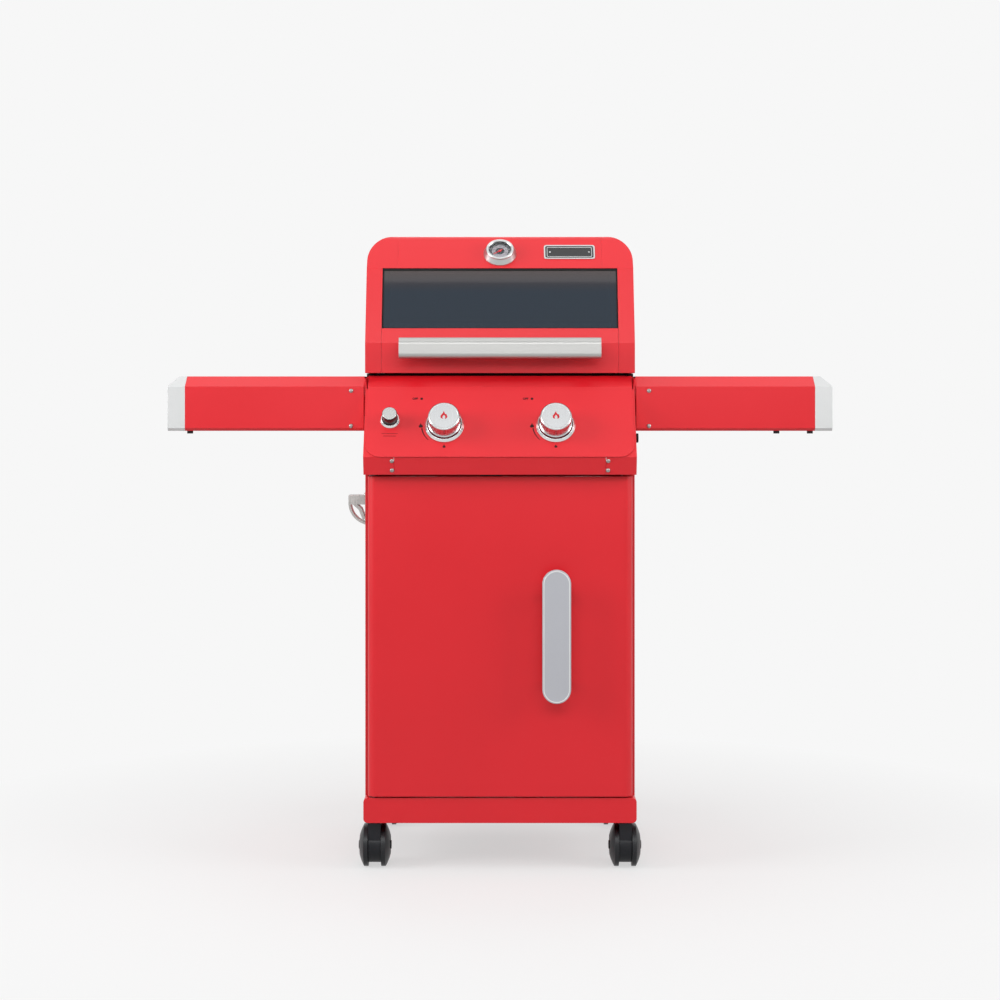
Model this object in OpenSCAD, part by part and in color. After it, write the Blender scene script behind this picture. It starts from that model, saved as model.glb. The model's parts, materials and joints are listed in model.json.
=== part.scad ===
// Two-burner gas barbecue grill on a cabinet cart, in millimetres.
// Front faces -Y and +Z is up. The origin is on the floor under the middle of the grill.
// Depths are counted from the front face of the cart door towards the back.

/* [Cart] */
// Width across the side panels
cabinet_w = 496; // [440:1:560]
// Depth from the door's front face to the rear panel
cabinet_d = 430; // [390:1:470]
// Height of the door
door_h = 585; // [480:1:640]
// Depth of the folded door pan
door_t = 20; // [16:1:24]
// Radius of the door's upright front edges
door_edge_r = 15; // [4:1:15]
// Height of the base tray's skirt
base_h = 46; // [36:1:60]
// Radius of the tank hole in the base tray
tank_r = 105; // [90:1:115]
// Thickness of the sheet steel
sheet = 2; // [1.5:0.1:2.5]

/* [Casters] */
// Wheel diameter
wheel_d = 78; // [60:1:90]
// Width of the web between the two wheels of a caster
web_w = 23; // [18:1:28]
// Width of one wheel
wheel_w = 18.5; // [14:0.5:20]
// Distance from the stem to the axle
trail = 18; // [12:1:22]
// Radius of the caster stems
stem_r = 5.5; // [4:0.5:6]

/* [Control panel] */
// Height of the band under the panel's face
band_h = 33; // [26:1:40]
// Height of the panel's slanted face, measured along it
face_len = 147; // [130:1:165]
// Lean of the face from the upright
face_tilt = 30; // [24:1:34]
// Distance of each knob from the middle
knob_x = 101.5; // [80:0.5:130]
// Distance of the knobs from the lower crease, along the face
knob_s = 65; // [50:1:85]
// Radius of the knobs
knob_r = 28.5; // [22:0.5:32]
// How far a knob stands out of the panel
knob_h = 36; // [30:1:42]
// Travel of a knob when it is pushed in
knob_push = 3; // [2:0.5:3]

/* [Shelves] */
// Length of a side shelf without its end cap
shelf_len = 330.5; // [260:0.5:400]
// Length of a shelf's end cap
cap_len = 32; // [20:1:50]
// Height of a shelf's edge
shelf_h = 101; // [85:1:110]

/* [Lid] */
// Height of the lid
lid_h = 261; // [235:1:290]
// Radius of the lid's top corners, seen from the front
lid_corner_r = 48; // [30:1:50]
// Width of the window
window_w = 440; // [360:1:446]
// Length of the handle bar
handle_w = 370; // [300:1:390]
// Radius of the thermometer's case
gauge_r = 31; // [25:0.5:33]

/* [Cook box] */
// Depth of the firebox below its rim
firebox_h = 128; // [115:1:132]
// Wall of the firebox
firebox_t = 3; // [2:0.5:4]
// Number of bars in one cooking grate
grate_bars = 10; // [6:1:12]

/* [Hidden] */
$fn = 64;
eps = 1;
// Radial clearance of a shaft or pin in its hole
fit = 0.05;
// Running gap between pieces that move past each other
gap = 0.3;
red = [0.82, 0.12, 0.15];
silver = [0.8, 0.82, 0.83];
chrome = [0.88, 0.88, 0.9];
steel = [0.6, 0.6, 0.62];
black = [0.1, 0.1, 0.11];
iron = [0.2, 0.2, 0.21];

// Heights of the main levels
base_z = wheel_d + 12;
deck_z = base_z + base_h;
door_z = [deck_z + 3, deck_z + 3 + door_h];
panel_z = door_z[1] + 4;
crease_z = panel_z + band_h;
bevel_z = crease_z + face_len * cos(face_tilt);
panel_top = bevel_z + 20.5;
lid_z = panel_top + 5.2;
rim_z = lid_z - 11;
seat_z = rim_z - firebox_t;
lid_top = lid_z + lid_h;

// Depths of the main fronts, behind the door's front face
side_front = 28;
base_d = [4, cabinet_d + 4];
crease_d = -35;
band_tilt = 18;
band_d = crease_d + (band_h + sheet) * tan(band_tilt);
bevel_d = crease_d + face_len * sin(face_tilt);
panel_back = bevel_d + 29.5;
lid_d = [50, cabinet_d + 56];
handle_front = -5;
knob_front = crease_d + knob_s * sin(face_tilt) - knob_h * cos(face_tilt) - (knob_r - 1.5) * sin(face_tilt);
door_y = -(lid_d[1] + knob_front) / 2;

half_w = cabinet_w / 2;
base_half = half_w + 2;
flange = 22;

// ---------- helpers ----------

function unit(v) = v / norm(v);
function before(p, i) = p[(i + len(p) - 1) % len(p)];
function after(p, i) = p[(i + 1) % len(p)];
function left_of(v) = [-v[1], v[0]];

// A counter-clockwise outline with every edge moved inwards by t
function inset(p, t) = [for (i = [0:len(p) - 1])
    let (a = left_of(unit(p[i] - before(p, i))), b = left_of(unit(after(p, i) - p[i])))
    p[i] + t * (a + b) / (1 + a * b)];

// Radii made smaller by t, as an inset outline needs them
function less(r, t) = [for (x = r) max(x - t, 0)];

// Convex counter-clockwise outline whose corners are rounded with the radii r
module rounded(p, r) {
    function to_before(i) = unit(before(p, i) - p[i]);
    function to_after(i) = unit(after(p, i) - p[i]);
    function half_angle(i) = acos(to_before(i) * to_after(i)) / 2;
    polygon([for (i = [0:len(p) - 1]) each r[i] == 0 ? [p[i]] :
        [p[i] + to_before(i) * r[i] / tan(half_angle(i)),
         p[i] + to_after(i) * r[i] / tan(half_angle(i))]]);
    for (i = [0:len(p) - 1]) if (r[i] > 0)
        translate(p[i] + unit(to_before(i) + to_after(i)) * r[i] / sin(half_angle(i))) circle(r = r[i]);
}

// Rectangle between two pairs of limits, with rounded corners
module round_rect(x, y, r)
    rounded([[x[0], y[0]], [x[1], y[0]], [x[1], y[1]], [x[0], y[1]]], [r, r, r, r]);

module rect(x, y) translate([x[0], y[0]]) square([x[1] - x[0], y[1] - y[0]]);

// Slot of length l and width w, lying along X
module slot(l, w) {
    square([l - w, w], center = true);
    for (s = [-1, 1]) translate([s * (l - w) / 2, 0]) circle(d = w);
}

// Box between limits in X, depth and Z
module box(x, d, z) translate([x[0], door_y + d[0], z[0]])
    cube([x[1] - x[0], d[1] - d[0], z[1] - z[0]]);

// Extrudes a side view (depth, Z) between two X values
module across(x) translate([x[0], door_y, 0]) rotate([90, 0, 90]) linear_extrude(x[1] - x[0]) children();

// Extrudes a front view (X, Z) between two depths
module deep(d) translate([0, door_y + d[1], 0]) rotate([90, 0, 0]) linear_extrude(d[1] - d[0]) children();

// Extrudes a top view (X, depth) between two heights
module tall(z) translate([0, door_y, z[0]]) linear_extrude(z[1] - z[0]) children();

module both_sides() {
    children();
    mirror([1, 0, 0]) children();
}

// Cylinder along X, depth or Z from a point given as [x, depth, z]
module rod_x(p, r, l) translate([p[0], door_y + p[1], p[2]]) rotate([0, 90, 0]) cylinder(r = r, h = l);
module rod_d(p, r, l) translate([p[0], door_y + p[1], p[2]]) rotate([-90, 0, 0]) cylinder(r = r, h = l);
module rod_z(p, r, l) translate([p[0], door_y + p[1], p[2]]) cylinder(r = r, h = l);

// ---------- cart ----------

corner_plate = 75;
caster_x = half_w - 16.5;
caster_ds = [40, cabinet_d - 32];
tank_at = [-80, cabinet_d / 2, deck_z];

module at_casters() for (s = [-1, 1], d = caster_ds) translate([s * caster_x, door_y + d, 0]) children();

module base_tray() color(red) {
    lip = 14;
    difference() {
        deep(base_d) round_rect([-base_half, base_half], [base_z, deck_z], 8);
        deep([base_d[0] + sheet, base_d[1] - sheet])
            round_rect([-base_half + sheet, base_half - sheet], [base_z + sheet, deck_z - sheet], 8 - sheet);
        box([-base_half + lip, base_half - lip], [base_d[0] + corner_plate, base_d[1] - corner_plate],
            [base_z - eps, base_z + 2 * sheet]);
        box([-base_half + corner_plate, base_half - corner_plate], [base_d[0] + lip, base_d[1] - lip],
            [base_z - eps, base_z + 2 * sheet]);
        rod_z(tank_at - [0, 0, base_h / 2], tank_r, base_h);
        at_casters() translate([0, 0, base_z - eps]) cylinder(r = stem_r + 1.5, h = 2 * sheet + eps);
    }
    difference() {
        rod_z(tank_at - [0, 0, 14], tank_r + sheet, 14);
        rod_z(tank_at - [0, 0, 15], tank_r, 16);
    }
}

socket_z = [base_z + sheet, deck_z - sheet];

module caster_sockets() color(steel) at_casters() difference() {
    translate([0, 0, socket_z[0]]) cylinder(r = stem_r + 4.5, h = socket_z[1] - socket_z[0]);
    translate([0, 0, socket_z[0] - eps]) cylinder(r = stem_r + fit, h = socket_z[1]);
}

side_top_front = panel_back;
side_outline = [[side_front, deck_z], [cabinet_d - sheet, deck_z], [cabinet_d - sheet, seat_z],
    [side_top_front, seat_z], [side_top_front, panel_z - 2], [side_front, panel_z - 2]];

module side_panel() color(red) {
    inner = half_w - sheet;
    across([inner, half_w]) polygon(side_outline);
    box([half_w - flange, inner], [side_front, side_front + sheet], [deck_z, panel_z - 2]);
    box([half_w - 15, inner], [side_front, cabinet_d - sheet], [deck_z, deck_z + sheet]);
    box([half_w - 15, inner], [side_top_front, cabinet_d - sheet], [seat_z - sheet, seat_z]);
    box([half_w - 15, inner], [cabinet_d - 2 * sheet, cabinet_d - sheet], [deck_z, seat_z]);
}
module side_panel_left() mirror([1, 0, 0]) side_panel();
module side_panel_right() side_panel();

rear_top = panel_z + 2;

module rear_panel() color(red) deep([cabinet_d - sheet, cabinet_d]) difference() {
    rect([-half_w, half_w], [deck_z, rear_top]);
    for (row = [0:3], col = [-1:1])
        translate([col * 120, rear_top - 60 - row * 24]) slot(90, 8);
    for (row = [0:2], col = [-1:1])
        translate([col * 120, deck_z + 50 + row * 24]) slot(90, 8);
}

hinge_x = -half_w + 16;
hinge_d = 13;
hinge_r = 4;

module door_hinges() color(steel) {
    rod_z([hinge_x, hinge_d, deck_z], hinge_r + 4, door_z[0] - gap - deck_z);
    rod_z([hinge_x, hinge_d, deck_z], hinge_r, 20);
    rod_z([hinge_x, hinge_d, door_z[1] + gap], hinge_r + 4, panel_z - door_z[1] - gap);
    rod_z([hinge_x, hinge_d, panel_z - 20], hinge_r, 20);
}

magnet_x = [-36, 4];

module door_magnet() color(steel) {
    box(magnet_x, [door_t + 10, door_t + 10 + sheet], [panel_z - 30, panel_z]);
    box([magnet_x[0] + 4, magnet_x[1] - 4], [door_t + gap + sheet, door_t + 10], [panel_z - 28, panel_z - 14]);
}

opener_d = [54, 90];
opener_z = panel_z - 41;

// Wall plate, cap hood, pry tooth and lower loop of the opener, on the left side panel
module bottle_opener() color(steel) {
    wall = -half_w - sheet;
    loop = [wall + 10, opener_z - 14];
    box([wall, -half_w], [opener_d[0] - 6, opener_d[1] + 6], [opener_z - 54, opener_z + 6]);
    for (d = [opener_d[0], opener_d[1] - 3]) deep([d, d + 3])
        rect([wall - 31, wall], [opener_z - 17, opener_z]);
    deep(opener_d) {
        rect([wall - 31, wall], [opener_z - 3, opener_z]);
        intersection() {
            difference() {
                translate(loop) circle(r = 41);
                translate(loop) circle(r = 37);
            }
            rect([wall - 40, wall + 0.5], [opener_z - 60, opener_z - 3]);
        }
        polygon([[wall - 20, opener_z - 3], [wall - 23, opener_z - 17], [wall - 12, opener_z - 27],
            [wall - 4, opener_z - 47], [wall, opener_z - 47], [wall, opener_z - 42],
            [wall - 7, opener_z - 24], [wall - 17, opener_z - 15], [wall - 16, opener_z - 3]]);
    }
    for (z = [opener_z - 46, opener_z + 1]) rod_x([wall - 1.5, opener_d[0] - 1, z], 3, 1.5);
}

// ---------- control panel ----------

// Outside of the panel, and the layer under its face on which the ends and the rail are made
panel_outline = [[band_d, panel_z - sheet], [panel_back + sheet, panel_z - sheet],
    [panel_back + sheet, panel_top], [bevel_d + 25.5, panel_top], [bevel_d, bevel_z],
    [crease_d, crease_z]];
body_outline = inset(panel_outline, sheet);
inner_outline = inset(panel_outline, 2 * sheet);
face_half = half_w - 4;
rail_half = half_w - 56;

// Places children on the face: X along it, Y up the slope from the crease, Z outwards
module on_face(x, s) translate([x, door_y + crease_d, crease_z]) rotate([90 - face_tilt, 0, 0])
    translate([0, s, 0]) children();
// The same on the band, counted down from the crease and on the layer of the ends
module on_band(x, s) translate([x, door_y + body_outline[5][0], body_outline[5][1]])
    rotate([90 + band_tilt, 0, 0]) translate([0, -s, 0]) children();

igniter_at = [-half_w + 47, 76];
spark_r = 15;

module control_panel() color(red) difference() {
    union() {
        on_face(0, 0) translate([0, 0, -sheet]) linear_extrude(sheet)
            rounded([[-face_half, 0], [face_half, 0], [face_half, face_len], [-face_half, face_len]],
                [26, 26, 0, 0]);
        intersection() {
            across([-face_half, face_half]) difference() {
                polygon(panel_outline);
                polygon(body_outline);
            }
            box([-half_w, half_w], [bevel_d - 8, panel_back - gap], [bevel_z - 3, panel_top + eps]);
        }
    }
    for (s = [-1, 1]) on_face(s * knob_x, knob_s) cylinder(r = 6, h = 20, center = true);
    on_face(igniter_at[0], igniter_at[1]) cylinder(r = 10, h = 20, center = true);
}

// Space inside an end, open to the back
module end_space() {
    polygon(inner_outline);
    rect([bevel_d, panel_back + eps], [panel_z + sheet, inner_outline[3][1]]);
}

module panel_screw_places() for (s = [-1, 1], z = [8, 26]) on_band(s * (half_w - 52), z) children();

module panel_ends() color(red) difference() {
    both_sides() {
        difference() {
            across([rail_half + 0.5, half_w]) polygon(body_outline);
            across([rail_half, half_w - sheet]) end_space();
        }
        box([half_w - 2 * sheet, half_w - sheet], [panel_back - 10, panel_back + 20],
            [panel_z + 12, seat_z - sheet - 1]);
    }
    panel_screw_places() cylinder(r = 2.2, h = 12, center = true);
    on_face(igniter_at[0], igniter_at[1]) cylinder(r = spark_r + 1.5, h = 20, center = true);
}

// Band between the two ends, its bottom flange and a tab behind each end
module front_rail() color(red) difference() {
    union() {
        across([-rail_half, rail_half]) intersection() {
            difference() {
                polygon(body_outline);
                polygon(inner_outline);
            }
            rect([crease_d - 5, side_front + 6], [panel_z, crease_z - 1]);
        }
        both_sides() on_band(rail_half, band_h - 7) {
            translate([-20, 0, -2 * sheet]) cube([18, band_h - 14, 1.5 * sheet]);
            translate([-14, 1, -2 * sheet]) cube([34, band_h - 16, sheet]);
        }
    }
    panel_screw_places() cylinder(r = 2.2, h = 16, center = true);
    // Notch in the flange for the nut of the gas hose
    box([inlet_x - 18, inlet_x + 18], [side_front - 10, side_front + 8], [panel_z - eps, panel_z + 2 * sheet]);
}

// Ring that stands on the face, with a sloped front
module bezel(r, r_in, h) rotate_extrude()
    polygon([[r_in, 0], [r, 0], [r, 0.4 * h], [r - 0.5 * h, h], [r_in + 1, h], [r_in, h - 1]]);

module bezels() color(chrome) {
    for (s = [-1, 1]) on_face(s * knob_x, knob_s) bezel(knob_r + 7.5, knob_r + 2.5, 7);
    on_face(igniter_at[0], igniter_at[1]) bezel(18, 15, 7);
}

valve_stem_end = -32;
stem_out = 25;

// Hollow knob with a groove above its skirt and a bored hub on the stem
module knob(x) color(silver) on_face(x, knob_s) rotate_extrude() polygon([
    [4 + fit, 5], [8, 5], [8, knob_h - 4], [knob_r - 3, knob_h - 4], [knob_r - 3, 5],
    [knob_r + 1, 5], [knob_r + 1, 9], [knob_r - 0.8, 10.5], [knob_r - 0.8, 12.5],
    [knob_r, 13.5], [knob_r, knob_h - 1.5], [knob_r - 1.5, knob_h], [0, knob_h],
    [0, stem_out + gap], [4 + fit, stem_out + gap]]);
module knob_left() knob(-knob_x);
module knob_right() knob(knob_x);

module valve_stem(x) color(steel) on_face(x, knob_s)
    translate([0, 0, valve_stem_end]) cylinder(r = 4, h = stem_out - valve_stem_end);
module valve_stem_left() valve_stem(-knob_x);
module valve_stem_right() valve_stem(knob_x);

module igniter_button() color(chrome) on_face(igniter_at[0], igniter_at[1]) {
    translate([0, 0, -12]) cylinder(r = 6, h = 20);
    translate([0, 0, 6]) rotate_extrude()
        polygon([[0, 0], [13.5, 0], [13.5, 5], [12.5, 6], [13.5, 7], [13.5, 18.8], [12.3, 20], [0, 20]]);
}

// Spark box behind the panel, with a nut against the sheet
module igniter_module() color(black) on_face(igniter_at[0], igniter_at[1]) difference() {
    union() {
        translate([0, 0, -sheet - 8]) cylinder(r = spark_r, h = 8);
        translate([0, 0, -sheet - 50]) cylinder(r = spark_r - 2, h = 44);
    }
    translate([0, 0, -20]) cylinder(r = 6 + fit, h = 20);
}

// ---------- gas train ----------

// Manifold on the line of the knob's stem
line_out = 46.7;
face_at_knob = [crease_d + knob_s * sin(face_tilt), crease_z + knob_s * cos(face_tilt)];
manifold_at = face_at_knob + line_out * [cos(face_tilt), -sin(face_tilt)];
manifold_r = 9;
inlet_x = 150;
inlet_r = 7.95;
burner_z = manifold_at[1] + 14;
orifice_d = manifold_at[0] + 18;

module manifold() color(steel) {
    rod_x([-knob_x - 24, manifold_at[0], manifold_at[1]], manifold_r, inlet_x + knob_x + 24);
    rod_z([inlet_x, manifold_at[0], manifold_at[1] - 12], manifold_r + 2.5, 24);
    rod_z([inlet_x, manifold_at[0], manifold_at[1] - 34], inlet_r, 30);
    translate([inlet_x, door_y + manifold_at[0], manifold_at[1] - 17]) cylinder(r = 11, h = 8, $fn = 6);
    // Two straps that bolt the manifold to the front of the firebox
    for (x = [-60, 60]) {
        box([x - 10, x + 10], [manifold_at[0] + 6, firebox_d[0]], [manifold_at[1] + 2, manifold_at[1] + 5]);
        box([x - 10, x + 10], [firebox_d[0] - 3, firebox_d[0]], [manifold_at[1] + 2, manifold_at[1] + 24]);
    }
}

module valves() color([0.72, 0.6, 0.35]) for (s = [-1, 1]) difference() {
    union() {
        box([s * knob_x - 12, s * knob_x + 12], [manifold_at[0] - 12, manifold_at[0] + 14],
            [manifold_at[1] - 12, burner_z + 7]);
        on_face(s * knob_x, knob_s) translate([0, 0, -line_out + 12]) cylinder(r = 8.5, h = 16);
        rod_d([s * knob_x, manifold_at[0] + 10, burner_z], 4.5, 14);
    }
    rod_x([s * knob_x - 20, manifold_at[0], manifold_at[1]], manifold_r + fit, 40);
    on_face(s * knob_x, knob_s) translate([0, 0, valve_stem_end - knob_push - 1])
        cylinder(r = 4 + fit, h = 30);
}

// ---------- cook box ----------

firebox_half = half_w - 18;
firebox_d = [panel_back + 7, cabinet_d + 32];
rim_half = half_w - 2.5;
floor_z = rim_z - firebox_h;
drain = [[-40, 40], [240, 320]];

side_view = [[firebox_d[0] + 60, floor_z], [firebox_d[1] - 60, floor_z],
    [firebox_d[1], floor_z + 16], [firebox_d[1], rim_z], [firebox_d[0], rim_z],
    [firebox_d[0], floor_z + 16]];
front_view = [[-150, floor_z], [150, floor_z], [firebox_half, floor_z + 24], [firebox_half, rim_z],
    [-firebox_half, rim_z], [-firebox_half, floor_z + 24]];
// The same outline raised above the rim, which leaves the tub open at the top
function open_top(p) = [for (q = p) q[1] > rim_z - 2 * firebox_t ? [q[0], rim_z + 10] : q];

burner_r = 12.5;
burner_d = [orifice_d - 3, firebox_d[1] - 20];
ledge_z = rim_z - 37;
tamer_z = ledge_z - 24;

module firebox() color(black) {
    difference() {
        union() {
            intersection() {
                across([-firebox_half, firebox_half]) polygon(side_view);
                deep(firebox_d) polygon(front_view);
            }
            tall([seat_z, rim_z]) round_rect([-rim_half, rim_half], [firebox_d[0] - 5, firebox_d[1] + 4], 6);
        }
        intersection() {
            across([-firebox_half, firebox_half]) polygon(open_top(inset(side_view, firebox_t)));
            deep(firebox_d) polygon(open_top(inset(front_view, firebox_t)));
        }
        for (s = [-1, 1]) rod_d([s * knob_x, firebox_d[0] - eps, burner_z], burner_r + 2 + gap, 12);
        box(drain[0], drain[1], [floor_z - eps, floor_z + 2 * firebox_t]);
    }
    // Ledges for the grates, and lugs for the flame tamers
    for (d = [firebox_d[0] + 1, firebox_d[1] - firebox_t - 10])
        box([-firebox_half + 1, firebox_half - 1], [d, d + firebox_t + 9], [ledge_z - 4, ledge_z]);
    for (s = [-1, 1], d = [firebox_d[0] + 1, firebox_d[1] - firebox_t - 12])
        box([s * knob_x - 50, s * knob_x + 50], [d, d + firebox_t + 11], [tamer_z - 4, tamer_z]);
}

// Cast burner tube: a venturi end over the valve's jet, a ported tube and a closed far end
module burners() color(steel) for (s = [-1, 1]) {
    difference() {
        union() {
            rod_d([s * knob_x, burner_d[0], burner_z], burner_r, burner_d[1] - burner_d[0]);
            rod_d([s * knob_x, burner_d[0], burner_z], burner_r + 2, 14);
        }
        rod_d([s * knob_x, burner_d[0] - eps, burner_z], burner_r - 2, burner_d[1] - burner_d[0] - 1);
        for (t = [0:11]) rod_x([s * knob_x - 20, firebox_d[0] + 60 + t * 24, burner_z], 1.5, 40);
        rod_z([s * knob_x, burner_d[0] + 7, burner_z - 20], 4, 40);
    }
    // Foot at the far end, standing on the firebox floor
    box([s * knob_x - 6, s * knob_x + 6], [burner_d[1] - 60, burner_d[1] - 56],
        [floor_z + firebox_t, burner_z - burner_r + 1]);
}

module flame_tamers() color(steel) for (s = [-1, 1]) translate([s * knob_x, 0, 0])
    deep([firebox_d[0] + firebox_t + 1, firebox_d[1] - firebox_t - 1])
        polygon([[-46, tamer_z], [-44, tamer_z], [0, tamer_z + 17.6], [44, tamer_z], [46, tamer_z],
            [0, tamer_z + 20]]);

grate_w = firebox_half - firebox_t - 1;
grate_d = [firebox_d[0] + firebox_t + 1.5, firebox_d[1] - firebox_t - 1.5];

// Two cast grates side by side, each a frame with bars and two cross ribs
module grates() color(iron) both_sides() {
    pitch = (grate_w - 8 - 0.5) / (grate_bars + 1);
    tall([ledge_z, ledge_z + 12]) difference() {
        rect([0.5, grate_w], grate_d);
        rect([8.5, grate_w - 8], [grate_d[0] + 8, grate_d[1] - 8]);
    }
    tall([ledge_z, ledge_z + 12]) for (i = [1:grate_bars])
        rect([0.5 + i * pitch, 6.5 + i * pitch], [grate_d[0] + 7, grate_d[1] - 7]);
    for (f = [1 / 3, 2 / 3]) tall([ledge_z, ledge_z + 8])
        translate([0, f * (grate_d[1] - grate_d[0])]) rect([8, grate_w - 7], [grate_d[0] - 3, grate_d[0] + 3]);
}

rack_x = rim_half - 9;
rack_d = [cabinet_d - 100, cabinet_d + 20];
rack_z = rim_z + 97;

// Wire rack on four legs that stand on the firebox's rim
module warming_rack() color(chrome) {
    $fn = 16;
    leg_d = [rack_d[0] + 25, rack_d[1] - 15];
    for (s = [-1, 1], d = leg_d) rod_z([s * rack_x, d, rim_z], 2.5, rack_z - rim_z);
    for (s = [-1, 1]) rod_d([s * rack_x, rack_d[0] - 3, rack_z], 3, rack_d[1] - rack_d[0] + 6);
    for (d = rack_d) rod_x([-rack_x, d, rack_z], 2.5, 2 * rack_x);
    for (i = [-9:9]) rod_d([i * (rack_x / 10), rack_d[0] - 2, rack_z + 2.5], 1.5, rack_d[1] - rack_d[0] + 4);
}

tray_half = 120;
tray_d = [150, cabinet_d - 20];
tray_z = floor_z - 28;

// Two angles under the firebox that carry the grease tray
module tray_rails() color(steel) both_sides() {
    box([tray_half + 2, tray_half + 2 + sheet], [tray_d[0], firebox_d[1] - 62], [tray_z - gap - sheet, floor_z]);
    box([tray_half - 8, tray_half + 2 + sheet], [tray_d[0], firebox_d[1] - 62],
        [tray_z - gap - sheet, tray_z - gap]);
}

module grease_tray() color(steel) {
    difference() {
        box([-tray_half, tray_half], tray_d, [tray_z, tray_z + 20]);
        box([-tray_half + 1.5, tray_half - 1.5], [tray_d[0] + 1.5, tray_d[1] - 1.5], [tray_z + 1.5, tray_z + 21]);
    }
    // Pull at the back
    box([-30, 30], [tray_d[1] - 1, tray_d[1] + 22], [tray_z + 16, tray_z + 18]);
    box([-30, 30], [tray_d[1] + 20, tray_d[1] + 22], [tray_z + 8, tray_z + 18]);
}

// ---------- shelves ----------

shelf_top = panel_top - 1;
shelf_z = [shelf_top - shelf_h, shelf_top];
shelf_gap = 3.5;
shelf_x = [half_w + shelf_gap, half_w + shelf_gap + shelf_len];
shelf_d = [bevel_d, cabinet_d];
shelf_outline = [[shelf_d[0] + 5, shelf_z[0]], [shelf_d[1] - 5, shelf_z[0]],
    [shelf_d[1], shelf_z[0] + 5], [shelf_d[1], shelf_top - 19], [shelf_d[1] - 28, shelf_top],
    [shelf_d[0] + 28, shelf_top], [shelf_d[0], shelf_top - 19], [shelf_d[0], shelf_z[0] + 5]];
shelf_lip = 20;

// Folded shelf, open underneath, with a closed inner end and two stiffeners
module shelf() color(red) {
    difference() {
        across(shelf_x) polygon(shelf_outline);
        across([shelf_x[0] + sheet, shelf_x[1] + eps]) polygon(inset(shelf_outline, sheet));
        box([shelf_x[0] + sheet, shelf_x[1] + eps], [shelf_d[0] + shelf_lip, shelf_d[1] - shelf_lip],
            [shelf_z[0] - eps, shelf_z[0] + 2 * sheet]);
        shelf_screw_places() cylinder(r = 2.2, h = 12, center = true);
    }
    for (f = [1 / 3, 2 / 3]) translate([shelf_x[0] + f * shelf_len, 0, 0])
        box([-10, 10], [shelf_d[0] + 30, shelf_d[1] - 30], [shelf_top - 12, shelf_top - sheet]);
}
module shelf_left() mirror([1, 0, 0]) shelf();
module shelf_right() shelf();

module shelf_screw_places() for (z = [shelf_top - 27, shelf_z[0] + 9])
    translate([half_w + 27, door_y + shelf_d[0], z]) rotate([90, 0, 0]) children();

// Moulded end of a shelf: the shelf's own outline, with its outer top edge bevelled
module shelf_cap() {
    x = [shelf_x[1], shelf_x[1] + cap_len];
    wall = 2.5;
    front = [[x[0], shelf_z[0]], [x[1], shelf_z[0]], [x[1], shelf_top - 18], [x[1] - 18, shelf_top],
        [x[0], shelf_top]];
    difference() {
        intersection() {
            across(x) polygon(shelf_outline);
            deep(shelf_d) polygon(front);
        }
        intersection() {
            across([x[0] - eps, x[1]]) polygon(inset(shelf_outline, wall));
            deep(shelf_d) translate([-wall, 0]) polygon([for (p = front)
                [p[0] == x[0] ? x[0] - eps : p[0], p[1] == shelf_top ? shelf_top - wall * 0.6 : p[1]]]);
        }
    }
}
module shelf_caps() color(silver) both_sides() shelf_cap();

// Spacer plates on the side panels, and an angle behind each shelf's front screws
module shelf_brackets() color(steel) both_sides() {
    box([half_w, shelf_x[0]], [panel_back + 12, cabinet_d - 30], [shelf_z[0] + 8, seat_z]);
    difference() {
        union() {
            box([shelf_x[0] + sheet, half_w + 42], [shelf_d[0] + sheet, shelf_d[0] + 2 * sheet],
                [shelf_z[0] + 7, shelf_top - 22]);
            box([shelf_x[0] + sheet, shelf_x[0] + 2 * sheet], [shelf_d[0] + sheet, shelf_d[0] + 40],
                [shelf_z[0] + 7, shelf_top - 22]);
        }
        shelf_screw_places() cylinder(r = 2.2, h = 12, center = true);
    }
}

// Pan-head screw whose head sits on the local XY plane
module screw(l) {
    rotate_extrude() polygon([[0, 0], [4, 0], [4, 0.8], [2.6, 2.2], [0, 2.2]]);
    translate([0, 0, -l]) cylinder(r = 2, h = l);
}

module screws() color(chrome) {
    panel_screw_places() screw(5);
    both_sides() shelf_screw_places() screw(5);
}

plug_x = [shelf_x[1] - 70, shelf_x[1] - 8];

module rubber_plugs() color(black) {
    for (d = [shelf_d[0] + 12, shelf_d[1] - 12]) {
        for (x = plug_x) rod_z([x, d, shelf_z[0] - 5], 5.5, 5);
        rod_z([-plug_x[1], d, shelf_z[0] - 5], 5.5, 5);
    }
    rod_x([half_w, 20, panel_z + 66], 8.5, 6);
    // Bumpers on the firebox's rim that the closed lid rests on
    for (s = [-1, 1]) rod_z([s * (rim_half - 9), firebox_d[0] + 10, rim_z], 6, lid_z - rim_z - gap);
}

// ---------- door ----------

door_x = [-half_w + 6, half_w - 5];
door_wall = 1.5;

// Plan of the door inset by t on its front and sides, and cut off at the depth d
module door_plan(t, d) intersection() {
    round_rect([door_x[0] + t, door_x[1] - t], [t, 3 * door_edge_r + t], door_edge_r - t);
    rect(door_x, [0, d]);
}

module door_skin() color(red) difference() {
    tall(door_z) door_plan(0, door_t);
    tall([door_z[0] + sheet, door_z[1] - sheet]) door_plan(door_wall, door_t + eps);
    rod_z([hinge_x, hinge_d, door_z[0] - eps], hinge_r + fit, door_h + 2 * eps);
}

inner_hole = 7;

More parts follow.
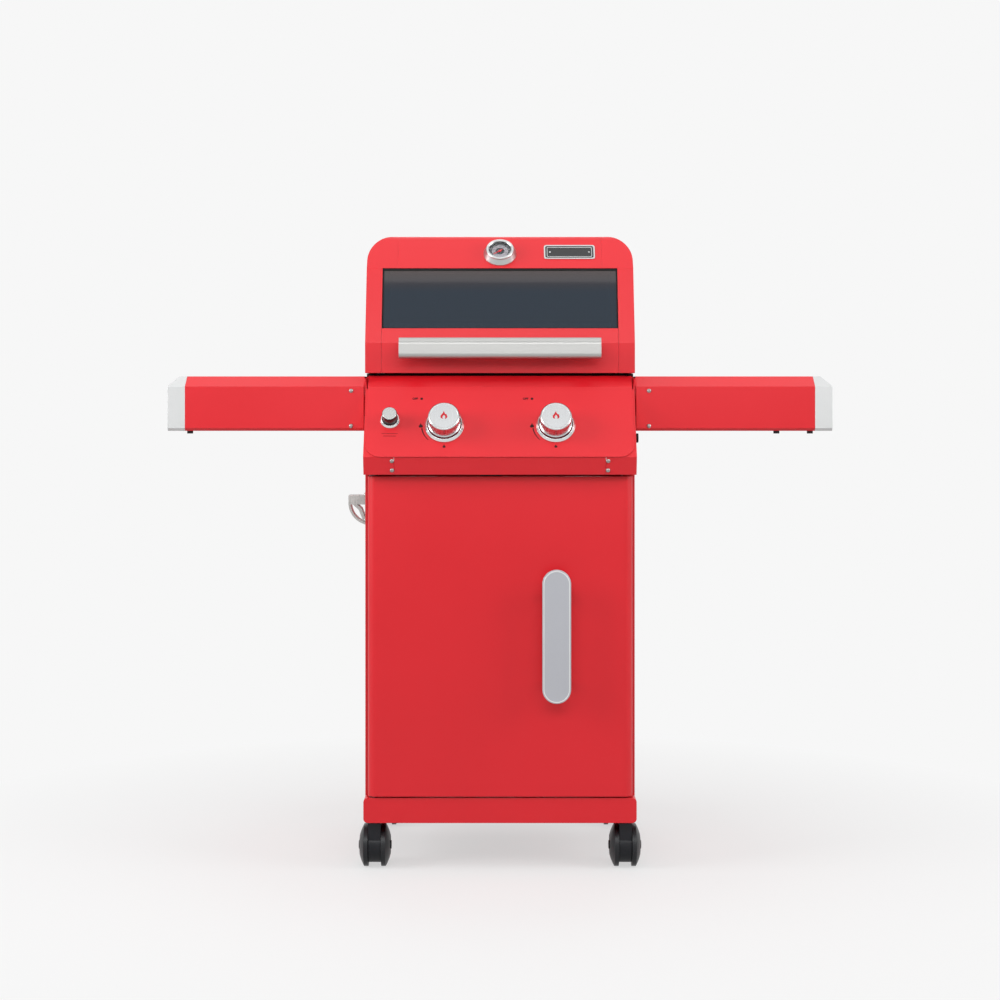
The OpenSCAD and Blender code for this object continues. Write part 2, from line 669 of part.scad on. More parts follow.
// Back sheet of the door, with a raised field and two notches for the hinge pins
module door_inner() color(red) difference() {
    union() {
        box([door_x[0] + door_wall, door_x[1] - door_wall], [door_t - sheet, door_t],
            [door_z[0] + sheet, door_z[1] - sheet]);
        box([door_x[0] + 60, door_x[1] - 60], [door_t - 8, door_t - sheet], [door_z[0] + 60, door_z[1] - 60]);
    }
    box([door_x[0] + 62, door_x[1] - 62], [door_t - 6, door_t + eps], [door_z[0] + 62, door_z[1] - 62]);
    for (z = [door_z[0] + sheet - eps, door_z[1] - 22])
        box([hinge_x - inner_hole, hinge_x + inner_hole], [door_t - 2 * sheet, door_t + eps], [z, z + 22]);
}

grip_x = half_w - 145.5;
grip_z = door_z[1] - 288;
grip = [52, 242];
grip_d = [-44, -36];

module upright_stadium(w, l) translate([grip_x, grip_z]) rotate(90) slot(l, w);

// Flat oval grip with a stepped rim
module door_handle() color(silver) {
    deep([grip_d[0] + 2, grip_d[1]]) upright_stadium(grip[0], grip[1]);
    deep([grip_d[0], grip_d[0] + 2]) upright_stadium(grip[0] - 4, grip[1] - 4);
}

module door_handle_posts() color(steel) for (s = [-1, 1])
    rod_d([grip_x, grip_d[1], grip_z + s * (grip[1] / 2 - 40)], 7, -grip_d[1]);

module door_strike() color(steel) box([magnet_x[0] + 4, magnet_x[1] - 4], [door_t, door_t + 1.5],
    [panel_z - 28, panel_z - 14]);

// ---------- lid ----------

fold_z = [lid_z + 56, lid_z + 197];
slope = 46;
band_lean = 50;
top_front = lid_d[0] + slope + (lid_top - fold_z[1]) * tan(90 - band_lean);
lid_outline = [[lid_d[0], lid_z], [lid_d[1], lid_z], [lid_d[1], lid_top - 90],
    [lid_d[1] - 66, lid_top], [top_front, lid_top], [lid_d[0] + slope, fold_z[1]], [lid_d[0], fold_z[0]]];
lid_radii = [0, 0, 50, 50, 16, 0, 0];
lid_half = half_w + 2;
lid_cast = 4;
window_z = [lid_z + 83, fold_z[1]];
window_half = window_w / 2;
seam_x = window_half - 28;
pin_at = [lid_d[1] - 10, rim_z + 3];

// Side view of the lid, inset by t
module lid_side(t) rounded(inset(lid_outline, t), less(lid_radii, t));
// Side view of a layer between two insets
module lid_layer(t0, t1) difference() {
    lid_side(t0);
    lid_side(t1);
}
// Zone of the side view that holds only the lid's front, between two heights
module front_zone(z) intersection() {
    rect([lid_d[0] - 10, lid_d[0] + slope + 20], z);
    polygon([[lid_d[0] - 10, lid_z - 10], [lid_d[0] + 14, lid_z - 10], [lid_d[0] + 14, fold_z[0]],
        [lid_d[0] + slope + 20, fold_z[1] + 10], [lid_d[0] - 10, fold_z[1] + 10]]);
}
// Front view of the whole lid, inset by t and open below
module lid_front_view(t) rounded([[-lid_half + t, lid_z - eps], [lid_half - t, lid_z - eps],
    [lid_half - t, lid_top - t], [-lid_half + t, lid_top - t]],
    [0, 0, lid_corner_r - t, lid_corner_r - t]);

// Cast end of the lid, right-hand one
module lid_end() color(red) {
    difference() {
        intersection() {
            across([seam_x, lid_half]) lid_side(0);
            deep(lid_d) lid_front_view(0);
        }
        intersection() {
            across([seam_x - eps, lid_half - lid_cast]) {
                lid_side(lid_cast);
                rect([lid_d[0] + lid_cast, lid_d[1] - lid_cast], [lid_z - eps, lid_z + 2 * lid_cast]);
            }
            deep([lid_d[0], lid_d[1]]) lid_front_view(lid_cast);
        }
        // Beside the window and the lower front the casting stops further out
        across([seam_x - eps, window_half]) front_zone([lid_z - eps, window_z[1]]);
    }
    // Return edge and the flange on which the glass and the lower front lie
    across([window_half, window_half + 2]) intersection() {
        lid_layer(1, 9);
        front_zone([lid_z + lid_cast, window_z[1]]);
    }
    across([window_half - 14, window_half + 2]) intersection() {
        lid_layer(6, 9);
        front_zone([lid_z + lid_cast, window_z[1]]);
    }
    // Lug that rests on the rim's bumper
    box([half_w - 20, lid_half - lid_cast], [firebox_d[0] + 2, firebox_d[0] + 18], [lid_z, lid_z + 8]);
    // Hinge ear
    difference() {
        union() {
            rod_x([half_w - 14, pin_at[0], pin_at[1]], 9, 12);
            box([half_w - 14, half_w - 2], [pin_at[0] - 8, lid_d[1] - lid_cast], [pin_at[1], lid_z + 24]);
            box([half_w - 14, lid_half - lid_cast], [pin_at[0] - 8, lid_d[1] - 1], [lid_z + 6, lid_z + 23]);
        }
        rod_x([half_w - 30, pin_at[0], pin_at[1]], 4 + fit, 40);
    }
}
module lid_end_left() mirror([1, 0, 0]) lid_end();
module lid_end_right() lid_end();

// Places children on the sloping band above the window
module on_brow(x, s) translate([x, door_y + lid_d[0] + slope, fold_z[1]]) rotate([band_lean, 0, 0])
    translate([0, s, 0]) children();
gauge_s = 37;

// Sheet from the window's top edge over the top and down the back
module lid_roof() color(red) difference() {
    union() {
        across([-seam_x, seam_x]) difference() {
            lid_layer(0, sheet);
            front_zone([lid_z - eps, window_z[1]]);
            rect([lid_d[0], lid_d[1] - sheet], [lid_z - eps, lid_z + 10]);
        }
        // Lip over the glass
        across([-seam_x, seam_x]) intersection() {
            lid_layer(0, 9);
            front_zone([window_z[1], window_z[1] + sheet]);
        }
    }
    on_brow(0, gauge_s) cylinder(r = 5, h = 60, center = true);
}

// Lower front: a pan with folded edges
module lid_front() color(red) {
    across([-window_half + gap, window_half - gap]) intersection() {
        lid_layer(0, sheet);
        front_zone([lid_z, window_z[0]]);
    }
    across([-window_half + gap, window_half - gap]) intersection() {
        lid_layer(0, 6);
        union() {
            front_zone([window_z[0] - sheet, window_z[0]]);
            front_zone([lid_z + lid_cast, lid_z + lid_cast + sheet]);
        }
    }
    for (x = [-window_half + gap, window_half - gap - sheet]) across([x, x + sheet]) intersection() {
        lid_layer(0, 6);
        front_zone([lid_z + lid_cast, window_z[0]]);
    }
}

module lid_glass() color([0.25, 0.27, 0.3, 0.8]) across([-window_half + gap, window_half - gap]) intersection() {
    lid_layer(2, 6);
    front_zone(window_z);
}

// Strips behind the glass's upper and lower edges, between the castings' flanges
module glass_retainers() color(steel) across([-window_half + 14, window_half - 14]) intersection() {
    lid_layer(6, 8);
    union() {
        front_zone([window_z[0] - 10, window_z[0] + 10]);
        front_zone([window_z[1] - 12, window_z[1] - 0.5]);
    }
}

bar_z = [lid_z + 26, lid_z + 64];
bar_d = [handle_front, handle_front + 26];

// Extruded bar, open at the back, with a thin lip line near its top
module lid_handle() color(silver) across([-handle_w / 2, handle_w / 2]) difference() {
    rounded([[bar_d[0], bar_z[0]], [bar_d[1], bar_z[0]], [bar_d[1], bar_z[1]], [bar_d[0] + 5, bar_z[1]],
        [bar_d[0], bar_z[1] - 10]], [9, 2, 2, 3, 6]);
    rounded([[bar_d[0] + 4, bar_z[0] + 4], [bar_d[1] + 4, bar_z[0] + 4], [bar_d[1] + 4, bar_z[1] - 4],
        [bar_d[0] + 8, bar_z[1] - 4], [bar_d[0] + 4, bar_z[1] - 12]], [5, 0, 0, 0, 3]);
    rect([bar_d[0] - 1, bar_d[0] + 2], [bar_z[1] - 9, bar_z[1] - 8]);
}

// Two standoffs, each a foot on the lid's front and an arm into the bar
module lid_handle_brackets() color(black) both_sides() {
    x = handle_w / 2 - 40;
    box([x, x + 24], [bar_d[1] - 4, lid_d[0]], [bar_z[0] + 6, bar_z[1] - 12]);
    box([x, x + 24], [bar_d[0] + 12, bar_d[1] + 6], [bar_z[0] + 4, bar_z[1] - 8]);
}

// Thermometer: flared case with a probe through the roof, dial, needle and lens
dial_r = gauge_r - 10.5;

module gauge_case() color(chrome) on_brow(0, gauge_s) {
    rotate_extrude() polygon([[0, 0], [gauge_r, 0], [gauge_r, 2], [gauge_r - 5, 11.5], [gauge_r - 5, 13.5],
        [gauge_r - 6, 14.5], [dial_r + 1.5, 14.5], [dial_r + 0.3, 13.3], [dial_r + 0.3, 7], [0, 7]]);
    translate([0, 0, -55]) cylinder(r = 3.5, h = 56);
    translate([0, 0, -8]) cylinder(r = 4.8, h = 9);
}

module gauge_dial() color("white") on_brow(0, gauge_s) difference() {
    translate([0, 0, 7]) cylinder(r = dial_r, h = 1);
    cylinder(r = 1.4, h = 20);
}

module gauge_needle() color([0.8, 0.2, 0.15]) on_brow(0, gauge_s) {
    translate([0, 0, 8 + gap]) linear_extrude(1) {
        circle(r = 2.6);
        rotate(125) polygon([[-1.1, -6], [1.1, -6], [0.6, dial_r - 6], [-0.6, dial_r - 6]]);
    }
    translate([0, 0, 7 + gap]) cylinder(r = 1.1, h = 2);
}

module gauge_lens() color([0.9, 0.95, 1, 0.4]) on_brow(0, gauge_s)
    translate([0, 0, 11]) cylinder(r = dial_r + 0.2, h = 1.6);

// Brackets on the firebox's back with their pins, which carry the lid's ears
module lid_hinges() color(steel) both_sides() {
    x = half_w - 28;
    across([x, x + 12]) {
        polygon([[firebox_d[1], seat_z - 28], [firebox_d[1] + 4, seat_z - 28],
            [pin_at[0] + 5, pin_at[1] - 5], [pin_at[0] - 2, pin_at[1] + 5], [firebox_d[1] + 4.1, pin_at[1] - 1],
            [firebox_d[1] + 4.1, seat_z], [firebox_d[1], seat_z]]);
        translate(pin_at) circle(r = 7);
    }
    rod_x([x, pin_at[0], pin_at[1]], 4, half_w - 2 - x);
}

// ---------- casters ----------

axle_z = wheel_d / 2;
axle_r = 4;

module caster() color(black) difference() {
    union() {
        translate([-web_w / 2, trail, axle_z]) rotate([0, 90, 0]) cylinder(r = axle_z - 7, h = web_w);
        translate([-web_w / 2, -11, axle_z]) cube([web_w, trail + 30, base_z - 6 - axle_z]);
        translate([0, 0, base_z - 8]) cylinder(r = 11, h = 8 - gap);
        translate([0, 0, base_z - 8]) cylinder(r = stem_r, h = deck_z - base_z);
    }
    translate([-web_w, trail, axle_z]) rotate([0, 90, 0]) cylinder(r = axle_r + fit, h = 2 * web_w);
}

wheel_hub = [0.2 * axle_z, 0.48 * axle_z];
tread_w = 0.42 * wheel_w;
// Radius of the ball that rounds a wheel's outer side
dome_r = (pow(axle_z, 2) + pow(wheel_w - tread_w, 2)) / (2 * (wheel_w - tread_w));

// Two domed wheels on one axle, each with a ring sunk round its hub
module wheels() color(black) translate([0, trail, axle_z]) rotate([0, 90, 0]) {
    cylinder(r = axle_r, h = web_w + 2, center = true);
    for (s = [0, 1]) mirror([0, 0, s]) translate([0, 0, web_w / 2 + 0.6]) rotate_extrude() difference() {
        intersection() {
            square([axle_z, wheel_w]);
            translate([0, wheel_w - dome_r]) circle(r = dome_r);
        }
        translate([wheel_hub[0], wheel_w - 3]) square([wheel_hub[1] - wheel_hub[0], 3]);
    }
}

module at_caster(sx, i) translate([sx * caster_x, door_y + caster_ds[i], 0]) children();
module caster_front_left() at_caster(-1, 0) caster();
module caster_front_right() at_caster(1, 0) caster();
module caster_rear_left() at_caster(-1, 1) caster();
module caster_rear_right() at_caster(1, 1) caster();
module wheels_front_left() at_caster(-1, 0) wheels();
module wheels_front_right() at_caster(1, 0) wheels();
module wheels_rear_left() at_caster(-1, 1) wheels();
module wheels_rear_right() at_caster(1, 1) wheels();

// ---------- nodes ----------

base_tray();
caster_sockets();
side_panel_left();
side_panel_right();
rear_panel();
front_rail();
panel_ends();
control_panel();
bezels();
igniter_module();
manifold();
valves();
burners();
flame_tamers();
grates();
firebox();
warming_rack();
tray_rails();
grease_tray();
lid_hinges();
door_hinges();
door_magnet();
bottle_opener();
shelf_left();
shelf_right();
shelf_caps();
shelf_brackets();
screws();
rubber_plugs();
door_skin();
door_inner();
door_handle();
door_handle_posts();
door_strike();
lid_end_left();
lid_end_right();
lid_roof();
lid_front();
lid_glass();
glass_retainers();
lid_handle();
lid_handle_brackets();
gauge_case();
gauge_dial();
gauge_lens();
gauge_needle();
valve_stem_left();
valve_stem_right();
knob_left();
knob_right();
igniter_button();
caster_front_left();
caster_front_right();
caster_rear_left();
caster_rear_right();
wheels_front_left();
wheels_front_right();
wheels_rear_left();
wheels_rear_right();
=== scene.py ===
"""Looks of a red gas barbecue grill on a cabinet cart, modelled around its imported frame.

Lengths are in metres, +Z is up and the grill's front faces -Y. Places come from the
frame's boxes and joints, so that each piece sits where the construction has it.
"""

import json
import math

import bmesh
import bpy
from mathutils import Matrix, Vector


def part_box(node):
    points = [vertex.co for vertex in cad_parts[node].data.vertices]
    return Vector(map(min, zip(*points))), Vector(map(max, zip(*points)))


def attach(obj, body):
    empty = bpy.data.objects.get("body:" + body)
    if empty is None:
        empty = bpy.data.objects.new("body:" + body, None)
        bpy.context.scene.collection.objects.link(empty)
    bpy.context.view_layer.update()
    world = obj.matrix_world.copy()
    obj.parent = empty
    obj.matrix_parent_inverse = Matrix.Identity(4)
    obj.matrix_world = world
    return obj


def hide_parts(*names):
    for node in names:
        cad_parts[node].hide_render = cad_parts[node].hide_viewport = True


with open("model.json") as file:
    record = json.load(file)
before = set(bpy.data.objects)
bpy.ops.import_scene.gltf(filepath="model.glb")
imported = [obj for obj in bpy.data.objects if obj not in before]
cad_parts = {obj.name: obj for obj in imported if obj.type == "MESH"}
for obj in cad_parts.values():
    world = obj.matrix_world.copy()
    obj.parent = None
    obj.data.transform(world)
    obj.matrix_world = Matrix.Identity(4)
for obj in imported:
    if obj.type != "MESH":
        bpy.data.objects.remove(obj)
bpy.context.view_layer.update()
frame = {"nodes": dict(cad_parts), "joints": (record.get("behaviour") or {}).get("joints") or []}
scene = bpy.context.scene
joints = {joint["name"]: joint for joint in frame["joints"]}
mm = 0.001


# ---------- finishes ----------


class Wiring:
    """The nodes of one tree and the links between them."""

    def __init__(self, tree):
        self.nodes = tree.nodes
        self.links = tree.links

    def put(self, socket, value):
        """Links another node's output to a socket, or sets the socket's own value."""
        if isinstance(value, bpy.types.NodeSocket):
            self.links.new(value, socket)
        else:
            socket.default_value = value


class Shading(Wiring):
    """Adds shading nodes to a material or world."""

    def __init__(self, owner):
        owner.use_nodes = True
        super().__init__(owner.node_tree)

    def node(self, kind, *values, **settings):
        """New node with its settings, and its first inputs filled in order."""
        node = self.nodes.new("ShaderNode" + kind)
        for name, value in settings.items():
            setattr(node, name, value)
        for socket, value in zip(node.inputs, values):
            self.put(socket, value)
        return node

    def math(self, operation, *values):
        """Result of one sum, product or comparison."""
        return self.node("Math", *values, operation=operation).outputs[0]

    def grade(self, value, low, high, to_low=0.0, to_high=1.0):
        """Value spread from the first range over the second."""
        return self.node("MapRange", value, low, high, to_low, to_high).outputs[0]


class Finish(Shading):
    """A material in the making: its calls add nodes and lead them to the shader."""

    def __init__(self, name, **constants):
        self.material = bpy.data.materials.new(name)
        super().__init__(self.material)
        self.shader = self.nodes["Principled BSDF"]
        self.place = self.node("TexCoord").outputs["Object"]
        self.surface(**constants)

    def surface(self, **sockets):
        """Sets the shader's sockets; base_color stands for Base Color."""
        for name, value in sockets.items():
            socket = self.shader.inputs[name.replace("_", " ").title().replace("Ior", "IOR")]
            self.put(socket, value if not isinstance(value, tuple) else (*value, 1)[:4])
        return self

    def along(self, direction, origin=(0, 0, 0)):
        """Distance of a point from the origin, measured along a direction."""
        offset = self.node("VectorMath", self.place, tuple(origin), operation="SUBTRACT").outputs[0]
        length = self.node("VectorMath", offset, tuple(direction), operation="DOT_PRODUCT")
        return length.outputs["Value"]

    def stretch(self, *scale):
        """Place with its own scale along X, Y and Z."""
        node = self.node("Mapping")
        self.put(node.inputs["Vector"], self.place)
        node.inputs["Scale"].default_value = scale
        return node.outputs[0]

    def noise(self, scale, detail=2.0, vector=None, roughness=0.5):
        """Soft random pattern; scale is how many of its features fit in a metre."""
        node = self.node("TexNoise")
        self.put(node.inputs["Vector"], vector or self.place)
        node.inputs["Scale"].default_value = scale
        node.inputs["Detail"].default_value = detail
        node.inputs["Roughness"].default_value = roughness
        return node.outputs["Fac"]

    def cells(self, scale, output="Color"):
        """Pattern of random cells, about scale of them to a metre."""
        node = self.node("TexVoronoi")
        self.put(node.inputs["Vector"], self.place)
        node.inputs["Scale"].default_value = scale
        return node.outputs[output]

    def mix(self, factor, low, high):
        """Colour between two colours."""
        node = self.nodes.new("ShaderNodeMix")
        node.data_type = "RGBA"
        self.put(node.inputs[0], factor)
        for socket, value in ((node.inputs[6], low), (node.inputs[7], high)):
            self.put(socket, (*value, 1) if isinstance(value, tuple) else value)
        return node.outputs[2]

    def bump(self, height, depth, strength=1.0, normal=None):
        """Relief of the given depth in metres."""
        node = self.node("Bump")
        node.inputs["Strength"].default_value = strength
        node.inputs["Distance"].default_value = depth
        self.put(node.inputs["Height"], height)
        if normal:
            self.put(node.inputs["Normal"], normal)
        return node.outputs[0]

    def soft_edges(self, radius):
        """Normal of folds and edges rounded by a radius."""
        node = self.node("Bevel", samples=6)
        node.inputs["Radius"].default_value = radius
        return node.outputs[0]


def powder_coat(name, low, high):
    """Baked powder paint: faint clouds, a fine orange peel and rounded folds."""
    paint = Finish(name, specular_ior_level=0.5)
    cloud = paint.noise(2.4, detail=2.0)
    fleck = paint.noise(1900.0, detail=1.0)
    cloudy = paint.grade(cloud, 0.3, 0.7, 0.0, 0.7)
    flecked = paint.grade(fleck, 0.3, 0.7, 0.0, 0.3)
    tone = paint.math("ADD", cloudy, flecked)
    peel = paint.noise(620.0, detail=1.5)
    return paint.surface(
        base_color=paint.mix(tone, low, high),
        roughness=paint.grade(cloud, 0.3, 0.7, 0.34, 0.42),
        normal=paint.bump(peel, 0.05 * mm, strength=0.5, normal=paint.soft_edges(1.2 * mm)),
    ).material


def silver_lacquer(name, base, roughness=0.42):
    """Matte silver paint with fine metal flakes in it."""
    paint = Finish(name, metallic=0.55)
    flake = paint.cells(2600.0, "Distance")
    cloud = paint.noise(6.0)
    dark = tuple(0.9 * c for c in base)
    return paint.surface(
        base_color=paint.mix(paint.grade(flake, 0.1, 0.7), base, dark),
        roughness=paint.grade(cloud, 0.3, 0.7, roughness - 0.04, roughness + 0.05),
        normal=paint.bump(flake, 0.02 * mm, strength=0.25, normal=paint.soft_edges(0.9 * mm)),
    ).material


def brushed_metal(name, base, grain, roughness):
    """Metal brushed in one direction: grain holds how fine the noise is along X, Y and Z."""
    metal = Finish(name, metallic=1.0)
    lines = metal.noise(1.0, detail=3.0, vector=metal.stretch(*grain), roughness=0.7)
    cloud = metal.noise(9.0)
    dark = tuple(0.86 * c for c in base)
    tone = metal.math("MULTIPLY", lines, metal.grade(cloud, 0.2, 0.8, 0.8, 1.2))
    return metal.surface(
        base_color=metal.mix(tone, dark, base),
        roughness=metal.grade(lines, 0.3, 0.7, *roughness),
        normal=metal.bump(lines, 0.03 * mm, strength=0.35, normal=metal.soft_edges(0.7 * mm)),
    ).material


def polished_metal(name, base, roughness):
    """Plated or polished metal with a trace of handling on it."""
    metal = Finish(name, metallic=1.0)
    smudge = metal.noise(60.0, detail=3.0)
    return metal.surface(
        base_color=metal.mix(smudge, tuple(0.95 * c for c in base), base),
        roughness=metal.grade(smudge, 0.35, 0.75, roughness, roughness + 0.08),
        normal=metal.soft_edges(0.5 * mm),
    ).material


def zinc_plate(name):
    """Galvanised sheet with its spangle."""
    metal = Finish(name, metallic=1.0)
    spangle = metal.node("SeparateColor", metal.cells(95.0)).outputs[0]
    haze = metal.noise(40.0, detail=4.0)
    return metal.surface(
        base_color=metal.mix(spangle, (0.42, 0.43, 0.45), (0.60, 0.61, 0.63)),
        roughness=metal.grade(metal.math("ADD", spangle, haze), 0.4, 1.4, 0.34, 0.52),
        normal=metal.bump(haze, 0.04 * mm, strength=0.3, normal=metal.soft_edges(0.6 * mm)),
    ).material


def stamped_steel(name):
    """Plain stamped steel of the bottle opener, rubbed along its edges."""
    metal = Finish(name, metallic=1.0)
    rub = metal.noise(1.0, detail=3.0, vector=metal.stretch(500.0, 60.0, 60.0))
    wear = metal.noise(35.0, detail=4.0)
    return metal.surface(
        base_color=metal.mix(wear, (0.36, 0.34, 0.33), (0.62, 0.60, 0.58)),
        roughness=metal.grade(rub, 0.3, 0.7, 0.22, 0.4),
        normal=metal.bump(rub, 0.03 * mm, strength=0.3, normal=metal.soft_edges(0.8 * mm)),
    ).material


def heated_steel(name):
    """Stainless burner steel, straw and blue where the flames heat it."""
    metal = Finish(name, metallic=1.0)
    patch = metal.noise(14.0, detail=3.0)
    grain = metal.noise(1.0, detail=2.0, vector=metal.stretch(500.0, 20.0, 500.0))
    straw = metal.mix(metal.grade(patch, 0.42, 0.6), (0.58, 0.57, 0.55), (0.55, 0.44, 0.28))
    return metal.surface(
        base_color=metal.mix(metal.grade(patch, 0.6, 0.75), straw, (0.25, 0.27, 0.40)),
        roughness=metal.grade(grain, 0.3, 0.7, 0.25, 0.42),
        normal=metal.bump(grain, 0.03 * mm, strength=0.3, normal=metal.soft_edges(0.5 * mm)),
    ).material


def cast_iron(name):
    """Enamelled cast iron with the grain of the sand mould."""
    iron = Finish(name, specular_ior_level=0.5)
    grain = iron.noise(420.0, detail=3.0, roughness=0.6)
    patch = iron.noise(22.0, detail=3.0)
    return iron.surface(
        base_color=iron.mix(patch, (0.016, 0.016, 0.017), (0.04, 0.039, 0.038)),
        roughness=iron.grade(patch, 0.3, 0.7, 0.38, 0.6),
        normal=iron.bump(grain, 0.18 * mm, strength=0.6, normal=iron.soft_edges(1.6 * mm)),
    ).material


def vitreous_enamel(name):
    """Black porcelain enamel with a faint speckle."""
    enamel = Finish(name, specular_ior_level=0.5)
    speckle = enamel.cells(700.0, "Distance")
    ripple = enamel.noise(90.0, detail=2.0)
    grey, black = (0.10, 0.10, 0.105), (0.013, 0.013, 0.015)
    return enamel.surface(
        base_color=enamel.mix(enamel.grade(speckle, 0.0, 0.16), grey, black),
        roughness=enamel.grade(ripple, 0.3, 0.7, 0.16, 0.26),
        normal=enamel.bump(ripple, 0.08 * mm, strength=0.4, normal=enamel.soft_edges(1.5 * mm)),
    ).material


def moulded_plastic(name, base, roughness=(0.3, 0.42), texture=0.03 * mm, shine=0.5):
    """Injection moulded plastic with a spark-eroded texture."""
    plastic = Finish(name, specular_ior_level=shine)
    pebble = plastic.noise(1400.0, detail=1.0)
    cloud = plastic.noise(18.0, detail=3.0)
    light = tuple(1.5 * c for c in base)
    return plastic.surface(
        base_color=plastic.mix(cloud, base, light),
        roughness=plastic.grade(cloud, 0.3, 0.7, *roughness),
        normal=plastic.bump(pebble, texture, strength=0.5, normal=plastic.soft_edges(1.0 * mm)),
    ).material


def soft_rubber(name):
    """Dull black rubber with a trace of dust."""
    rubber = Finish(name, specular_ior_level=0.2)
    dust = rubber.noise(120.0, detail=4.0)
    return rubber.surface(
        base_color=rubber.mix(dust, (0.006, 0.006, 0.007), (0.016, 0.015, 0.015)),
        roughness=rubber.grade(dust, 0.3, 0.7, 0.6, 0.8),
        normal=rubber.bump(dust, 0.06 * mm, strength=0.4, normal=rubber.soft_edges(0.8 * mm)),
    ).material


def machined_brass(name):
    """Turned brass, a little tarnished."""
    brass = Finish(name, metallic=1.0)
    turning = brass.noise(260.0, detail=2.0)
    tarnish = brass.noise(30.0, detail=3.0)
    return brass.surface(
        base_color=brass.mix(tarnish, (0.62, 0.44, 0.18), (0.80, 0.62, 0.30)),
        roughness=brass.grade(turning, 0.3, 0.7, 0.2, 0.34),
        normal=brass.soft_edges(0.6 * mm),
    ).material


def tinted_glass(name, low, high):
    """Smoked window glass: bluish and dark, with a lighter, warmer painted reflection near its upper
    edge.
    """
    glass = Finish(name, transmission_weight=0.35, roughness=0.03, ior=1.52)
    rise = glass.grade(glass.along((0, 0, 1)), low, high)
    return glass.surface(
        # Towards the top the colour turns lighter and warmer: a painted reflection, not a tint of the
        # glass.
        base_color=glass.mix(rise, (0.018, 0.034, 0.056), (0.060, 0.034, 0.030)),
        normal=glass.bump(glass.noise(3.0), 0.4 * mm, strength=0.05),
    ).material


def clear_lens(name):
    """Clear glass over the dial."""
    glass = Finish(name, transmission_weight=1.0, roughness=0.01, ior=1.1)
    haze = glass.noise(200.0)
    return glass.surface(base_color=glass.mix(haze, (0.97, 0.98, 0.98), (1.0, 1.0, 1.0))).material


def print_ink(name, base):
    """Screen-printed ink, slightly uneven in its cover."""
    ink = Finish(name, specular_ior_level=0.25)
    cover = ink.noise(900.0, detail=3.0)
    return ink.surface(
        base_color=ink.mix(cover, base, tuple(0.75 * c for c in base)),
        roughness=ink.grade(cover, 0.3, 0.7, 0.4, 0.55),
    ).material


def two_tone(name, origin, direction, inner, outer):
    """Bare metal beyond the origin in a direction, and dark plastic up to it."""
    piece = Finish(name)
    mask = piece.math("GREATER_THAN", piece.along(direction, origin), 0.0)
    grain = piece.noise(900.0, detail=2.0)
    return piece.surface(
        base_color=piece.mix(mask, inner, outer),
        metallic=mask,
        roughness=piece.grade(grain, 0.3, 0.7, 0.2, 0.32),
        normal=piece.bump(grain, 0.02 * mm, strength=0.3, normal=piece.soft_edges(0.5 * mm)),
    ).material


red_coat = powder_coat("red_powder_coat", (0.69, 0.008, 0.016), (0.75, 0.012, 0.022))
cap_lacquer = silver_lacquer("shelf_cap_lacquer", (0.66, 0.67, 0.67))
grip_lacquer = silver_lacquer("door_grip_lacquer", (0.52, 0.53, 0.57), roughness=0.36)
handle_metal = brushed_metal(
    "lid_handle_metal", (0.47, 0.47, 0.46), grain=(5.0, 900.0, 900.0), roughness=(0.42, 0.52))
cap_metal = brushed_metal(
    "knob_metal", (0.64, 0.65, 0.66), grain=(900.0, 14.0, 14.0), roughness=(0.18, 0.28))
chrome = polished_metal("bezel_chrome", (0.74, 0.75, 0.75), roughness=0.1)
edge_metal = polished_metal("grip_edge_metal", (0.80, 0.80, 0.80), roughness=0.3)
rack_chrome = polished_metal("rack_chrome", (0.42, 0.42, 0.42), roughness=0.3)
screw_steel = polished_metal("screw_steel", (0.36, 0.34, 0.33), roughness=0.34)
# Painted shade: the hinges, magnet and strike get a near-black red that stands in for the shade in the
# gaps round the door.
hinge_shade_coat = powder_coat("hinge_painted_shade_coat", (0.10, 0.004, 0.006), (0.13, 0.006, 0.008))
satin_metal = polished_metal("gauge_metal", (0.56, 0.57, 0.57), roughness=0.27)
zinc = zinc_plate("zinc_plate")
opener_steel = stamped_steel("opener_steel")
burner_steel = heated_steel("burner_steel")
grate_iron = cast_iron("grate_iron")
box_enamel = vitreous_enamel("firebox_enamel")
caster_plastic = moulded_plastic("caster_plastic", (0.009, 0.010, 0.013), shine=0.28)
wheel_plastic = moulded_plastic(
    "wheel_plastic", (0.011, 0.012, 0.014), roughness=(0.3, 0.4), texture=0.02 * mm, shine=0.34)
bracket_plastic = moulded_plastic("bracket_plastic", (0.02, 0.02, 0.02), roughness=(0.4, 0.55))
plug_rubber = soft_rubber("plug_rubber")
valve_brass = machined_brass("valve_brass")
window_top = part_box("lid_glass")[1].z
# Height of the painted reflection at the top of the window glass.
painted_reflection_band = 45 * mm
window_glass = tinted_glass("window_glass", window_top - painted_reflection_band, window_top)
dial_glass = clear_lens("dial_glass")
dial_paper = print_ink("dial_paper", (0.34, 0.32, 0.35))
dial_light = print_ink("dial_light", (0.72, 0.73, 0.74))
dial_dark = print_ink("dial_dark", (0.05, 0.055, 0.06))
panel_ink = print_ink("panel_ink", (0.026, 0.001, 0.002))
faint_ink = print_ink("faint_ink", (0.22, 0.004, 0.008))
badge_black = moulded_plastic("badge_black", (0.012, 0.012, 0.013), roughness=(0.22, 0.3))
flame_red = print_ink("flame_red", (0.62, 0.03, 0.04))
spark_out = -Vector(joints["igniter_push"]["axis"]).normalized()
spark_button = frame["nodes"]["igniter_button"].data
spark_tip = max(spark_out.dot(vertex.co) for vertex in spark_button.vertices)
spark_face = spark_out * (spark_tip - 0.4 * mm)
spark_cap = two_tone("igniter_cap", spark_face, spark_out, (0.02, 0.018, 0.02), (0.54, 0.55, 0.54))

